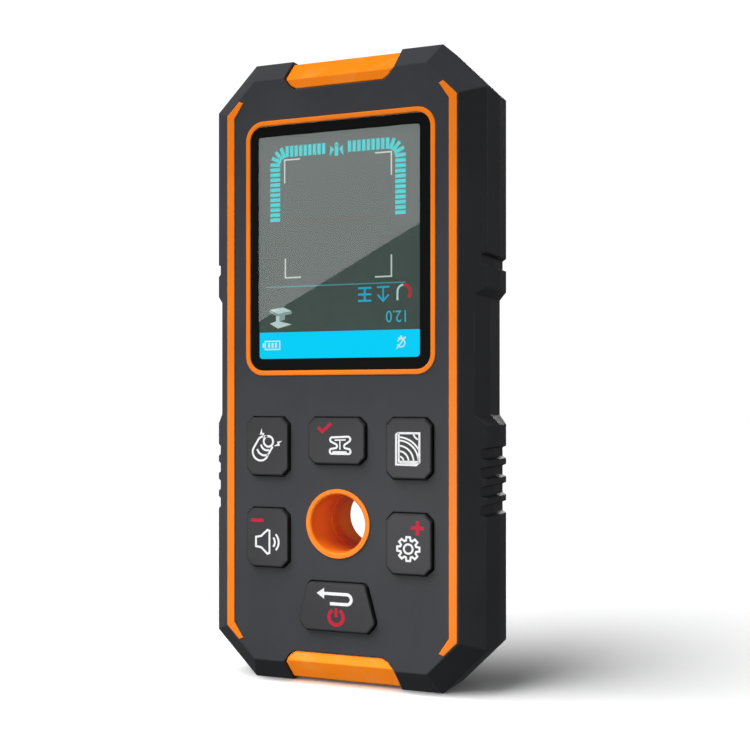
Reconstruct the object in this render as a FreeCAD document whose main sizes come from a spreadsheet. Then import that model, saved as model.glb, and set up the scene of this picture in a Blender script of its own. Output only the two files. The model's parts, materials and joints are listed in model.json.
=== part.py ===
import FreeCAD, Part

import math
import os

import Sketcher

# A hand-held stud finder that stands on its lower edge: display above, keys and marking hole below.
#
# Every piece is drawn in the casing's own coordinates: x to the right, "depth" from the plane of
# the front face towards the wall side, and "level" up or down from the middle of the casing.
# Each body's Placement then moves it to the row frame, whose origin is the bottom centre.

# One row per driving dimension, in millimetres (angles in degrees): alias, value, meaning.
DIMENSIONS = [
    ("body_width", 75.2, "casing width across the grips"),
    ("body_height", 161.0, "casing height"),
    ("corner_cut", 11.5, "45 degree corner at the widest section"),
    ("front_bevel", 5.6, "45 degree bevel round the front face"),
    ("rear_bevel", 3.5, "45 degree bevel round the rear face"),
    ("edge_round", 0.5, "rounding of the outer edges"),
    ("parting_depth", 15.9, "depth of the joint between the casing halves"),
    ("side_wall", 2.4, "casing wall at the sides"),
    ("end_wall", 5.0, "casing wall at the ends, behind the bumpers"),
    ("face_wall", 2.4, "front wall"),
    ("back_wall", 2.0, "rear wall"),
    ("inner_bevel", 4.2, "bevel inside the front wall"),
    ("rear_inner_bevel", 2.0, "bevel inside the rear wall"),
    ("lip_height", 1.5, "alignment lip of the rear half"),
    ("lip_thick", 1.0, "thickness of the alignment lip"),
    ("lip_gap", 0.1, "clearance round the alignment lip"),
    ("grip_sink", 2.5, "depth of the finger recess in each side"),
    ("grip_top", 18.0, "top of the finger recess floor"),
    ("grip_bottom", -11.5, "bottom of the finger recess floor"),
    ("grip_rise", 1.9, "height of the recess's upper ramp"),
    ("grip_fall", 2.5, "height of the recess's lower ramp"),
    ("groove_sink", 1.4, "depth of the grip grooves"),
    ("groove_open", 3.2, "height of a groove at its mouth"),
    ("groove_floor", 2.2, "height of a groove at its floor"),
    ("groove_first", -21.0, "level of the highest lower groove"),
    ("groove_pitch", 4.65, "spacing of the lower grooves"),
    ("groove_upper", 26.8, "level of the single upper groove"),
    ("stripe_edge", 0.3, "stripe's distance from the edge of the face"),
    ("stripe_wide", 2.1, "width of a stripe"),
    ("stripe_tip", 1.2, "width of a stripe at its tips"),
    ("stripe_short", 3.8, "how far short of the face's corner a stripe's tip ends"),
    ("stripe_inset", 0.35, "stripe's distance from the corner edge"),
    ("stripe_thick", 1.0, "thickness of a stripe"),
    ("stripe_proud", 0.15, "how far a stripe stands out"),
    ("inlay_gap", 0.05, "clearance round inlaid pieces"),
    ("bumper_half", 15.1, "half width of a bumper"),
    ("bumper_toe", 12.8, "half width of a bumper at its edge on the face"),
    ("bumper_face", 2.5, "height of a bumper's strip on the face"),
    ("bumper_drop", 0.9, "how far a bumper's top lies under the casing's ends"),
    ("bumper_sink", 0.4, "how far a bumper lies under the face"),
    ("bumper_thick", 1.55, "thickness of a bumper"),
    ("bumper_round", 0.9, "rounding of a bumper's corners on the face"),
    ("bumper_gap", 0.18, "clearance between a bumper's sides and the casing"),
    ("bumper_edge", 0.25, "rounding of a bumper's outer edges"),
    ("trim_width", 52.3, "outer width of the window trim"),
    ("trim_height", 65.7, "outer height of the window trim"),
    ("trim_level", 31.4, "level of the window's middle"),
    ("trim_band", 1.3, "width of the trim's band"),
    ("trim_round", 5.0, "outer corner radius of the trim"),
    ("trim_seat", 1.3, "depth of the recess that holds trim and window"),
    ("trim_proud", 0.2, "how far the trim stands out"),
    ("window_sink", 0.1, "how far the window lies under the face"),
    ("view_ledge", 1.65, "ledge that the window rests on"),
    ("view_round", 1.5, "corner radius of that opening"),
    ("gasket_thick", 0.4, "foam gasket between front wall and display"),
    ("gasket_band", 1.4, "width of the foam gasket"),
    ("lcd_border", 1.8, "display module past the opening at the sides and below"),
    ("lcd_driver", 7.8, "display module past the opening above"),
    ("lcd_glass", 1.1, "thickness of the display glass"),
    ("lcd_light", 1.6, "thickness of the backlight"),
    ("lcd_margin", 0.8, "how much smaller the glass is than the backlight"),
    ("ribbon_width", 22.0, "width of the display ribbon"),
    ("ribbon_thick", 0.3, "thickness of the display ribbon"),
    ("ribbon_socket", 1.0, "height of the ribbon's socket on the board"),
    ("carrier_wall", 1.2, "wall of the display carrier"),
    ("board_depth", 9.0, "depth of the main board's front side"),
    ("board_thick", 1.6, "thickness of the main board"),
    ("board_clear", 0.6, "gap between the main board and the screw bosses"),
    ("board_above", 8.5, "main board's upper edge from the casing's end"),
    ("board_below", 10.5, "main board's lower edge from the casing's end"),
    ("board_corner", 3.0, "corner radius of the main board"),
    ("hole_level", -38.9, "level of the marking hole"),
    ("hole_bore", 7.4, "radius of the marking hole"),
    ("sleeve_wall", 1.35, "wall of the marking sleeves"),
    ("sleeve_proud", 0.3, "how far the front sleeve stands out"),
    ("sleeve_split", 12.4, "depth where the two sleeves meet"),
    ("sleeve_edge", 0.35, "bevel of the sleeves' ends"),
    ("sleeve_gap", 0.05, "clearance of the sleeves in the casing"),
    ("board_gap", 0.7, "clearance of the boards round the sleeve"),
    ("key_proud", 1.3, "how far the keys stand out"),
    ("key_gap", 0.3, "clearance round a key"),
    ("key_cut", 1.8, "corner cut of a key slot"),
    ("key_round", 0.5, "rounding of a key's corners"),
    ("key_edge", 0.45, "bevel round a key's face"),
    ("key_flange", 0.9, "how far a key's flange reaches past its slot"),
    ("key_flange_thick", 0.9, "thickness of a key's flange"),
    ("key_inner", 13.2, "inner side of the outer key slots"),
    ("key_outer", 25.8, "outer side of the outer key slots"),
    ("key_top", -11.9, "top of the upper row of slots"),
    ("upper_key_end", -27.4, "bottom of the upper outer slots"),
    ("centre_key_half", 8.1, "half width of the centre slot"),
    ("centre_key_end", -24.1, "bottom of the centre slot"),
    ("lower_key_top", -35.3, "top of the lower slots"),
    ("lower_key_end", -50.9, "bottom of the lower slots"),
    ("back_key_top", -53.4, "top of the lowest slot"),
    ("back_key_end", -66.2, "bottom of the lowest slot"),
    ("back_key_wide", -63.4, "level where the lowest slot is widest"),
    ("back_key_upper", 8.2, "half width of the lowest slot at its top"),
    ("back_key_middle", 10.9, "half width of the lowest slot at its widest"),
    ("back_key_lower", 8.9, "half width of the lowest slot at its bottom"),
    ("back_key_round", 1.4, "corner radius of the lowest slot"),
    ("plunger_radius", 2.0, "plunger behind a key"),
    ("switch_size", 6.0, "side of a tactile switch"),
    ("switch_tall", 3.6, "height of a switch's body"),
    ("stem_radius", 1.7, "switch stem"),
    ("stem_gap", 0.06, "running clearance of a stem"),
    ("stem_proud", 0.7, "stem above the switch body"),
    ("stem_sunk", 1.5, "stem inside the switch body"),
    ("stem_well", 2.4, "depth of the stem's hole"),
    ("boss_radius", 3.2, "screw boss"),
    ("boss_inset", 7.0, "screw bosses from the casing's sides"),
    ("boss_below", 20.5, "screw bosses from the casing's ends"),
    ("joint_gap", 0.1, "gap where the two halves' bosses meet"),
    ("screw_radius", 1.25, "case screw shank"),
    ("screw_head", 2.4, "case screw head"),
    ("screw_head_thick", 1.6, "case screw head"),
    ("screw_length", 14.0, "case screw shank"),
    ("screw_sink", 0.9, "case screw head under the rear face"),
    ("thread_gap", 0.05, "clearance of a screw in its boss"),
    ("pass_gap", 0.25, "clearance of a screw in the piece it holds"),
    ("cross_width", 0.5, "half width of a cross recess"),
    ("cross_reach", 1.5, "half length of a cross recess"),
    ("cross_sink", 0.9, "depth of a cross recess"),
    ("post_radius", 2.2, "main board post"),
    ("post_across", 22.0, "main board posts from the centre line"),
    ("post_upper", -5.5, "level of the upper posts"),
    ("post_lower", -64.0, "level of the lower posts"),
    ("board_screw", 0.9, "board screw shank radius"),
    ("board_screw_head", 1.9, "board screw head radius"),
    ("board_screw_thick", 1.1, "board screw head"),
    ("board_screw_length", 6.0, "board screw shank"),
    ("coil_clear", 2.0, "coil former's distance from the main board"),
    ("coil_height", 8.0, "height of the coil former"),
    ("coil_rim", 1.4, "coil former's flanges past the winding"),
    ("coil_wall", 1.6, "wall of the coil former's hub"),
    ("coil_flange", 1.0, "thickness of the coil former's flanges"),
    ("winding_thick", 8.2, "the winding from its inside to its outside"),
    ("plate_clear", 0.2, "gap between the sensor plate and the rear wall"),
    ("plate_thick", 1.0, "thickness of the sensor plate"),
    ("plate_inset", 11.1, "sensor plate's sides from the casing's sides"),
    ("plate_top", 6.0, "level of the sensor plate's top"),
    ("plate_below", 12.5, "sensor plate's lower edge from the casing's end"),
    ("foil_thick", 0.15, "thickness of the copper on the sensor plate"),
    ("link_across", -23.5, "pin strip between the boards, from the centre line"),
    ("link_level", -16.0, "level of the pin strip's middle"),
    ("link_height", 12.0, "length of the pin strip"),
    ("link_wide", 2.5, "width of the pin strip"),
    ("chip_thick", 1.2, "height of the chips"),
    ("chip_side", 9.0, "side of the main chip"),
    ("chip_level", 3.0, "level of the main chip"),
    ("chip_spacing", 12.5, "small chips from the centre line"),
    ("small_chip_side", 5.0, "side of the small chips"),
    ("small_chip_low", 62.5, "the two lowest chips below the middle"),
    ("buzzer_radius", 6.0, "buzzer"),
    ("buzzer_thick", 4.6, "buzzer height"),
    ("buzzer_across", 12.8, "buzzer from the centre line"),
    ("buzzer_level", -8.0, "level of the buzzer"),
    ("cell_radius", 5.25, "battery cell"),
    ("cell_length", 43.4, "battery cell without its nub"),
    ("cell_round", 0.5, "rounding of a cell's ends"),
    ("nub_radius", 1.9, "battery nub"),
    ("nub_length", 1.1, "battery nub"),
    ("cell_spacing", 0.5, "gap between two cells"),
    ("cell_slack", 0.15, "gap between the cells and the bay's floor"),
    ("cell_side_slack", 0.8, "gap between the cells and the bay's sides"),
    ("door_slack", 0.65, "gap between the cells and the door"),
    ("tray_level", 39.3, "level of the battery bay's middle"),
    ("tray_gap", 0.1, "gap between the battery bay and the main board"),
    ("spring_room", 3.35, "room for contacts at each end of a cell"),
    ("tray_wall", 1.2, "wall of the battery bay"),
    ("contact_thick", 0.4, "battery contact plates"),
    ("contact_half", 4.4, "half width of a contact plate"),
    ("spring_wire", 0.35, "radius of the battery spring wire"),
    ("spring_radius", 3.6, "largest radius of a battery spring"),
    ("spring_pitch", 1.0, "pitch of a battery spring"),
    ("spring_cone", 8.0, "cone angle of a battery spring"),
    ("door_ledge", 2.4, "how far the door reaches past the battery bay"),
    ("door_thick", 1.8, "thickness of the battery door"),
    ("door_gap", 0.3, "clearance round the door"),
    ("pin_radius", 0.5, "pivot pins of the door"),
    ("pin_length", 1.2, "pivot pins of the door"),
    ("pin_gap", 0.05, "running clearance of the pivot pins"),
    ("frame_side", 2.3, "door frame beside the door"),
    ("frame_thick", 1.8, "thickness of the door frame under the door"),
    ("notch_half", 6.0, "half width of the finger notch above the door"),
    ("notch_height", 2.8, "height of the finger notch"),
    ("notch_sink", 1.5, "depth of the finger notch"),
    ("rib_half", 8.0, "half width of the ribs on the door"),
    ("rib_height", 0.8, "height of a rib"),
    ("rib_pitch", 2.0, "spacing of the ribs"),
    ("rib_sink", 0.5, "depth of the grooves between the ribs"),
    ("door_round", 1.5, "corner radius of the door's free corners"),
    ("pad_proud", 1.0, "how far the glide pads stand out"),
    ("pad_thick", 1.5, "thickness of a glide pad"),
    ("pad_half", 5.0, "half width of a glide pad"),
    ("pad_tall", 2.2, "half height of a glide pad"),
    ("pad_across", 20.0, "glide pads from the centre line"),
    ("pad_inset", 7.3, "glide pads from the casing's ends"),
]

# Each key's short name, and the name of its node.
KEYS = {
    "cable": "cable_key",
    "metal": "metal_key",
    "wood": "wood_key",
    "minus": "minus_key",
    "plus": "plus_key",
    "back": "back_key",
}


class Size:
    """A length from the sheet: its number now, and the formula that keeps it up to date."""

    def __init__(self, number, formula):
        self.number = number
        self.formula = formula

    def __add__(self, other):
        other = size(other)
        return Size(self.number + other.number, f"({self.formula} + {other.formula})")

    def __sub__(self, other):
        other = size(other)
        return Size(self.number - other.number, f"({self.formula} - {other.formula})")

    def __mul__(self, other):
        other = size(other)
        return Size(self.number * other.number, f"({self.formula} * {other.formula})")

    def __truediv__(self, other):
        other = size(other)
        return Size(self.number / other.number, f"({self.formula} / {other.formula})")

    def __neg__(self):
        return Size(-self.number, f"(0 - {self.formula})")

    def __radd__(self, other):
        return size(other) + self

    def __rsub__(self, other):
        return size(other) - self

    def __rmul__(self, other):
        return size(other) * self


def size(term):
    """Take a Size as it is, and a plain number as a Size."""
    if isinstance(term, Size):
        return term
    return Size(float(term), f"({float(term)})")


class Dims:
    """The driving dimensions as attributes, each a Size bound to its cell."""

    def __init__(self, doc):
        self.sheet = doc.addObject("Spreadsheet::Sheet", "Dims")
        for row, (alias, number, meaning) in enumerate(DIMENSIONS, start=1):
            self.sheet.set(f"A{row}", alias)
            self.sheet.set(f"B{row}", str(number))
            self.sheet.set(f"C{row}", meaning)
            self.sheet.setAlias(f"B{row}", alias)
            setattr(self, alias, Size(number, f"Dims.{alias}"))


doc = FreeCAD.newDocument("StudFinder")
dim = Dims(doc)
doc.recompute()

# The depth of the casing is the stack from the front face to the battery door.
BOARD_BACK = dim.board_depth + dim.board_thick
BAY_FLOOR = BOARD_BACK + dim.tray_gap + dim.tray_wall
CELL_DEPTH = BAY_FLOOR + dim.cell_slack + dim.cell_radius
BODY_DEPTH = CELL_DEPTH + dim.cell_radius + dim.door_slack + dim.door_thick

# The front face's place in the row frame puts the whole part, keys and pads included, astride y = 0.
FRONT_Y = (dim.key_proud - dim.pad_proud - BODY_DEPTH) / 2
MIDDLE_Z = dim.body_height / 2
HALF_WIDTH = dim.body_width / 2
HALF_HEIGHT = dim.body_height / 2
BEYOND = size(2.0)
ROOT_TWO = math.sqrt(2.0)

# The edges of the front face, and the sum of across and level along its cut corners.
FACE_SIDE = HALF_WIDTH - dim.front_bevel
FACE_END = HALF_HEIGHT - dim.front_bevel
FACE_DIAGONAL = FACE_SIDE + FACE_END - dim.corner_cut + dim.front_bevel * (2 - ROOT_TWO)

# The bumpers follow the ends of the casing.
BUMPER_CROWN = HALF_HEIGHT - dim.bumper_drop
BUMPER_SHOULDER = FACE_END - dim.bumper_drop + dim.bumper_sink
BUMPER_FOOT = BUMPER_SHOULDER - dim.bumper_face

# The display lines up with the window's opening.
VIEW_WIDE = dim.trim_width / 2 - dim.trim_band - dim.view_ledge
VIEW_TALL = dim.trim_height / 2 - dim.trim_band - dim.view_ledge
LCD_WIDE = VIEW_WIDE + dim.lcd_border
LCD_BOTTOM = dim.trim_level - VIEW_TALL - dim.lcd_border
LCD_TOP = dim.trim_level + VIEW_TALL + dim.lcd_driver

# Bosses, boards and the coil.
BOSS_ACROSS = HALF_WIDTH - dim.boss_inset
BOSS_LEVEL = HALF_HEIGHT - dim.boss_below
BOARD_HALF = BOSS_ACROSS - dim.boss_radius - dim.board_clear
BOARD_TOP = HALF_HEIGHT - dim.board_above
BOARD_BOTTOM = dim.board_below - HALF_HEIGHT
SLEEVE_OUTER = dim.hole_bore + dim.sleeve_wall
COIL_FRONT = BOARD_BACK + dim.coil_clear
COIL_BACK = COIL_FRONT + dim.coil_height
COIL_HUB = SLEEVE_OUTER + dim.sleeve_gap + dim.coil_wall
WINDING_OUTER = COIL_HUB + dim.winding_thick
PLATE_DEPTH = BODY_DEPTH - dim.back_wall - dim.plate_clear - dim.plate_thick
PLATE_BOTTOM = dim.plate_below - HALF_HEIGHT

# The battery bay fits its cells, and the door fits the bay.
CELL_PITCH = dim.cell_radius * 2 + dim.cell_spacing
BAY_HALF = CELL_PITCH + dim.cell_radius + dim.cell_side_slack
BAY_REACH = (dim.cell_length + dim.nub_length) / 2 + dim.spring_room
DOOR_HALF = BAY_HALF + dim.door_ledge
DOOR_PIVOT = dim.tray_level - BAY_REACH - dim.door_ledge
DOOR_TOP = dim.tray_level + BAY_REACH + dim.door_ledge


def bind(thing, path, term):
    """Bind one property of an object to a size."""
    thing.setExpression(path, size(term).formula)


def put_in_row_frame(thing):
    """Move an object drawn in casing coordinates to the row frame."""
    bind(thing, "Placement.Base.y", FRONT_Y)
    bind(thing, "Placement.Base.z", MIDDLE_Z)


# ---------------------------------------------------------------- outlines


def fix_point(sketch, geometry, point, across, up):
    """Hold one point of a sketch at a place measured from the sketch's origin."""
    for kind, term in (("DistanceX", across), ("DistanceY", up)):
        term = size(term)
        number = sketch.addConstraint(Sketcher.Constraint(kind, -1, 1, geometry, point, term.number))
        bind(sketch, f"Constraints[{number}]", term)


def polygon(corners):
    """A closed outline of straight sides."""
    corners = [(size(across), size(up)) for across, up in corners]

    def draw(sketch):
        first = sketch.GeometryCount
        count = len(corners)
        points = [FreeCAD.Vector(across.number, up.number) for across, up in corners]
        for n in range(count):
            sketch.addGeometry(Part.LineSegment(points[n], points[(n + 1) % count]), False)
        for n in range(count):
            follower = first + (n + 1) % count
            sketch.addConstraint(Sketcher.Constraint("Coincident", first + n, 2, follower, 1))
        for n, (across, up) in enumerate(corners):
            fix_point(sketch, first + n, 1, across, up)

    return draw


def box(left, right, bottom, top):
    """A rectangle between two sides and two levels."""
    return polygon([(left, bottom), (right, bottom), (right, top), (left, top)])


def circle(across, up, radius):
    """A circle about a point."""
    across, up, radius = size(across), size(up), size(radius)

    def draw(sketch):
        centre = FreeCAD.Vector(across.number, up.number)
        ring = Part.Circle(centre, FreeCAD.Vector(0, 0, 1), radius.number)
        number = sketch.addGeometry(ring, False)
        fix_point(sketch, number, 3, across, up)
        held = sketch.addConstraint(Sketcher.Constraint("Radius", number, radius.number))
        bind(sketch, f"Constraints[{held}]", radius)

    return draw


def rounded_box(across, up, half_width, half_height, radius):
    """A rectangle about a point, with its corners rounded."""
    radius = size(radius)
    inner_x = size(half_width) - radius
    inner_y = size(half_height) - radius
    centres = [
        (size(across) + inner_x, size(up) - inner_y),
        (size(across) + inner_x, size(up) + inner_y),
        (size(across) - inner_x, size(up) + inner_y),
        (size(across) - inner_x, size(up) - inner_y),
    ]

    def draw(sketch):
        first = sketch.GeometryCount
        middles = [FreeCAD.Vector(x.number, y.number) for x, y in centres]
        for n in range(4):
            outward = FreeCAD.Vector(0, -radius.number) if n == 0 else None
            if n == 1:
                outward = FreeCAD.Vector(radius.number, 0)
            if n == 2:
                outward = FreeCAD.Vector(0, radius.number)
            if n == 3:
                outward = FreeCAD.Vector(-radius.number, 0)
            side = Part.LineSegment(middles[n - 1] + outward, middles[n] + outward)
            sketch.addGeometry(side, False)
            ring = Part.Circle(middles[n], FreeCAD.Vector(0, 0, 1), radius.number)
            turn = math.radians(90 * n - 90)
            sketch.addGeometry(Part.ArcOfCircle(ring, turn, turn + math.radians(90)), False)
        for n in range(8):
            sketch.addConstraint(
                Sketcher.Constraint("Tangent", first + n, 2, first + (n + 1) % 8, 1)
            )
        for n, (x, y) in enumerate(centres):
            corner = first + 2 * n + 1
            fix_point(sketch, corner, 3, x, y)
            held = sketch.addConstraint(Sketcher.Constraint("Radius", corner, radius.number))
            bind(sketch, f"Constraints[{held}]", radius)

    return draw


def cut_corner_box(left, right, bottom, top, cut):
    """A rectangle with its four corners cut at 45 degrees."""
    return polygon(
        [
            (left + cut, bottom),
            (right - cut, bottom),
            (right, bottom + cut),
            (right, top - cut),
            (right - cut, top),
            (left + cut, top),
            (left, top - cut),
            (left, bottom + cut),
        ]
    )


# ---------------------------------------------------------------- pieces

pieces = []


class Piece:
    """One separate piece: a body built up from outlines drawn across the depth axis."""

    def __init__(self, label, is_core=False):
        self.body = doc.addObject("PartDesign::Body", label)
        self.body.Label = label
        self.body.AllowCompound = True
        if not is_core:
            put_in_row_frame(self.body)
            pieces.append(self.body)

    def sketch(self, role, offset, outlines):
        """Sketch outlines on one of the body's own planes, moved along its normal."""
        plane = next(item for item in self.body.Origin.OriginFeatures if item.Role == role)
        sketch = self.body.newObject("Sketcher::SketchObject", f"{self.body.Name}_sketch")
        sketch.AttachmentSupport = [(plane, "")]
        sketch.MapMode = "FlatFace"
        bind(sketch, "AttachmentOffset.Base.z", offset)
        for outline in outlines:
            outline(sketch)
        return sketch

    def _extrude(self, kind, near, far, outlines):
        # The XZ plane's normal points out of the front, so depth counts against it.
        feature = self.body.newObject(f"PartDesign::{kind}", f"{self.body.Name}_{kind.lower()}")
        feature.Profile = self.sketch("XZ_Plane", -size(near), outlines)
        feature.Reversed = kind == "Pad"
        bind(feature, "Length", size(far) - size(near))
        doc.recompute()
        return self

    def pad(self, near, far, *outlines):
        """Add material between two depths."""
        return self._extrude("Pad", near, far, outlines)

    def cut(self, near, far, *outlines):
        """Remove material between two depths."""
        before = self.body.Shape.Volume
        self._extrude("Pocket", near, far, outlines)
        if not self.body.Shape.Volume < before:
            raise RuntimeError(f"a cut in {self.body.Label} removed nothing")
        return self

    def _across(self, kind, half_width, outlines, middle):
        # The YZ plane shows depth to the right and level upwards.
        feature = self.body.newObject(f"PartDesign::{kind}", f"{self.body.Name}_side")
        feature.Profile = self.sketch("YZ_Plane", middle, outlines)
        feature.Midplane = True
        bind(feature, "Length", size(half_width) * 2)
        doc.recompute()
        return self

    def pad_across(self, half_width, *outlines, middle=0):
        """Add material from side to side, with outlines given as depth and level."""
        return self._across("Pad", half_width, outlines, middle)

    def cut_across(self, half_width, *outlines, middle=0):
        """Remove material from side to side."""
        before = self.body.Shape.Volume
        self._across("Pocket", half_width, outlines, middle)
        if not self.body.Shape.Volume < before:
            raise RuntimeError(f"a cut in {self.body.Label} removed nothing")
        return self

    def pad_up(self, low, high, *outlines):
        """Add material between two levels, with outlines given as across and depth."""
        feature = self.body.newObject("PartDesign::Pad", f"{self.body.Name}_up")
        feature.Profile = self.sketch("XY_Plane", low, outlines)
        bind(feature, "Length", size(high) - size(low))
        doc.recompute()
        return self

    def dress(self, kind, amount, wanted):
        """Chamfer or fillet the edges for which wanted(edge) holds."""
        base = self.body.Tip
        names = [
            f"Edge{number}"
            for number, edge in enumerate(base.Shape.Edges, start=1)
            if wanted(edge)
        ]
        if not names:
            raise RuntimeError(f"no edge to dress on {self.body.Label}")
        feature = self.body.newObject(f"PartDesign::{kind}", f"{self.body.Name}_{kind.lower()}")
        feature.Base = (base, names)
        bind(feature, "Radius" if kind == "Fillet" else "Size", amount)
        doc.recompute()
        return self

    def hollow_out(self, core):
        """Take the shape of a core, drawn in the same coordinates, out of the piece."""
        boolean = self.body.newObject("PartDesign::Boolean", f"{self.body.Name}_hollow")
        boolean.Type = "Cut"
        boolean.addObjects([core.body])
        doc.recompute()
        return self


def near(one, other):
    """Whether two numbers are the same size."""
    return abs(one - size(other).number) < 0.01


def along_depth(edge):
    """Whether an edge is straight and runs front to back."""
    box_of = edge.BoundBox
    return box_of.XLength < 0.01 and box_of.ZLength < 0.01 and box_of.YLength > 0.1


def at_depth(edge, depth):
    """Whether an edge lies in a plane across the depth axis."""
    return edge.BoundBox.YLength < 0.01 and near(edge.BoundBox.YMin, depth)


# ---------------------------------------------------------------- casing


def casing_outline(inset_side, inset_end):
    """The casing's outer octagon, moved inwards by a wall at the sides and at the ends."""
    wide = HALF_WIDTH - inset_side
    tall = HALF_HEIGHT - inset_end
    diagonal = HALF_WIDTH + HALF_HEIGHT - dim.corner_cut - size(inset_side) * ROOT_TWO
    return wide, tall, diagonal


def octagon(inset_side, inset_end):
    """The casing's octagon as a plain outline."""
    wide, tall, diagonal = casing_outline(inset_side, inset_end)
    top = diagonal - tall
    side = diagonal - wide
    corners = [(top, tall), (wide, side), (wide, -side), (top, -tall)]
    corners += [(-across, up) for across, up in reversed(corners)]
    return polygon(corners)


def hollow(inset_side, inset_end):
    """The inside of the casing: the octagon with a step in for the finger recesses."""
    wide, tall, diagonal = casing_outline(inset_side, inset_end)
    top = diagonal - tall
    side = diagonal - wide
    waist = wide - dim.grip_sink
    corners = [
        (top, tall),
        (wide, side),
        (wide, dim.grip_top + dim.grip_rise + inset_side),
        (waist, dim.grip_top + inset_side),
        (waist, dim.grip_bottom - inset_side),
        (wide, dim.grip_bottom - dim.grip_fall - inset_side),
        (wide, -side),
        (top, -tall),
    ]
    corners += [(-across, up) for across, up in reversed(corners)]
    return polygon(corners)


def finger_recess(side):
    """The cut that makes one finger recess, as wide as it needs to clear the casing."""
    floor = HALF_WIDTH - dim.grip_sink
    over = HALF_WIDTH + BEYOND
    slope = (dim.grip_sink + BEYOND) / dim.grip_sink
    return polygon(
        [
            (floor * side, dim.grip_bottom),
            (over * side, dim.grip_bottom - dim.grip_fall * slope),
            (over * side, dim.grip_top + dim.grip_rise * slope),
            (floor * side, dim.grip_top),
        ]
    )


def grip_groove(side, level):
    """The cut that makes one grip groove."""
    floor = HALF_WIDTH - dim.groove_sink
    over = HALF_WIDTH + BEYOND
    flare = (dim.groove_open - dim.groove_floor) / 2
    mouth = dim.groove_open / 2 + flare * BEYOND / dim.groove_sink
    return polygon(
        [
            (floor * side, level - dim.groove_floor / 2),
            (over * side, level - mouth),
            (over * side, level + mouth),
            (floor * side, level + dim.groove_floor / 2),
        ]
    )


def groove_levels():
    """The levels of the grip grooves: one above the finger recess and four below."""
    lower = [dim.groove_first - dim.groove_pitch * n for n in range(4)]
    return [dim.groove_upper] + lower


def cut_grips(piece, near_depth, far_depth):
    """Cut the finger recesses and the grooves in both sides of a casing half."""
    piece.cut(near_depth, far_depth, finger_recess(-1), finger_recess(1))
    grooves = [grip_groove(side, level) for side in (-1, 1) for level in groove_levels()]
    piece.cut(near_depth, far_depth, *grooves)


def key_slot(name, grow):
    """A key's slot in the front wall, grown outwards, or shrunk when grow is negative."""
    if name == "back":
        upper = dim.back_key_upper + grow
        middle = dim.back_key_middle + grow
        lower = dim.back_key_lower + grow
        top = dim.back_key_top + grow
        end = dim.back_key_end - grow
        half = [(upper, top), (middle, dim.back_key_wide), (lower, end)]
        return polygon(half + [(-across, up) for across, up in reversed(half)])
    left, right = dim.key_inner, dim.key_outer
    top, end = dim.key_top, dim.upper_key_end
    if name in ("minus", "plus"):
        top, end = dim.lower_key_top, dim.lower_key_end
    if name in ("cable", "minus"):
        left, right = -dim.key_outer, -dim.key_inner
    if name == "metal":
        left, right = -dim.centre_key_half, dim.centre_key_half
        end = dim.centre_key_end
    return cut_corner_box(left - grow, right + grow, end - grow, top + grow, dim.key_cut)


def is_back_slot_corner(edge):
    """Whether an edge is a corner of the lowest slot, running through the front wall."""
    box_of = edge.BoundBox
    low, high = dim.back_key_end.number - 0.1, dim.back_key_top.number + 0.1
    beside = abs(box_of.XMin) < dim.back_key_middle.number + 0.1
    return along_depth(edge) and near(box_of.YMin, 0) and beside and low < box_of.ZMin < high


def key_centre(name):
    """The point behind a key where its plunger and its switch lie."""
    across = {"cable": -1, "minus": -1, "wood": 1, "plus": 1}.get(name, 0)
    level = (dim.key_top + dim.upper_key_end) / 2
    if name in ("minus", "plus"):
        level = (dim.lower_key_top + dim.lower_key_end) / 2
    if name == "metal":
        level = (dim.key_top + dim.centre_key_end) / 2
    if name == "back":
        level = (dim.back_key_top + dim.back_key_end) / 2
    return (dim.key_inner + dim.key_outer) / 2 * across, level


def stripe_outline(side, grow):
    """A long stripe that turns in along the corner at each end and narrows to its tips."""
    outer = FACE_SIDE - dim.stripe_edge + grow
    inner = FACE_SIDE - dim.stripe_edge - dim.stripe_wide - grow
    outer_sum = FACE_DIAGONAL - (dim.stripe_inset - grow) * ROOT_TWO
    inner_sum = outer_sum - (dim.stripe_wide + size(grow) * 2) * ROOT_TWO
    tip_sum = outer_sum - (dim.stripe_tip + size(grow) * 2) * ROOT_TWO
    reach = FACE_DIAGONAL - FACE_END + dim.stripe_short - grow
    half = [
        (outer, outer_sum - outer),
        (reach + dim.stripe_tip / 2, outer_sum - reach - dim.stripe_tip / 2),
        (reach - dim.stripe_tip / 2, tip_sum - reach + dim.stripe_tip / 2),
        (inner, inner_sum - inner),
    ]
    corners = half + [(across, -up) for across, up in reversed(half)]
    return polygon([(across * side, up) for across, up in corners])


def bumper_profile(end, grow):
    """A bumper cut through: depth and level, grown inwards into the casing."""
    rise = BUMPER_SHOULDER - dim.bumper_sink
    shoulder_depth = BUMPER_CROWN - rise
    inner_rise = rise - (dim.bumper_thick + size(grow)) * ROOT_TWO
    inner_crown = BUMPER_CROWN - dim.bumper_thick - grow
    inner_face = dim.bumper_sink + dim.bumper_thick + grow
    foot = BUMPER_FOOT - grow
    rear = dim.parting_depth - dim.joint_gap
    outer = [
        (dim.bumper_sink, foot),
        (dim.bumper_sink, BUMPER_SHOULDER),
        (shoulder_depth, BUMPER_CROWN),
        (rear, BUMPER_CROWN),
        (rear, inner_crown),
        (inner_crown - inner_rise, inner_crown),
        (inner_face, inner_rise + inner_face),
        (inner_face, foot),
    ]
    return polygon([(depth, up * end) for depth, up in outer])


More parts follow.
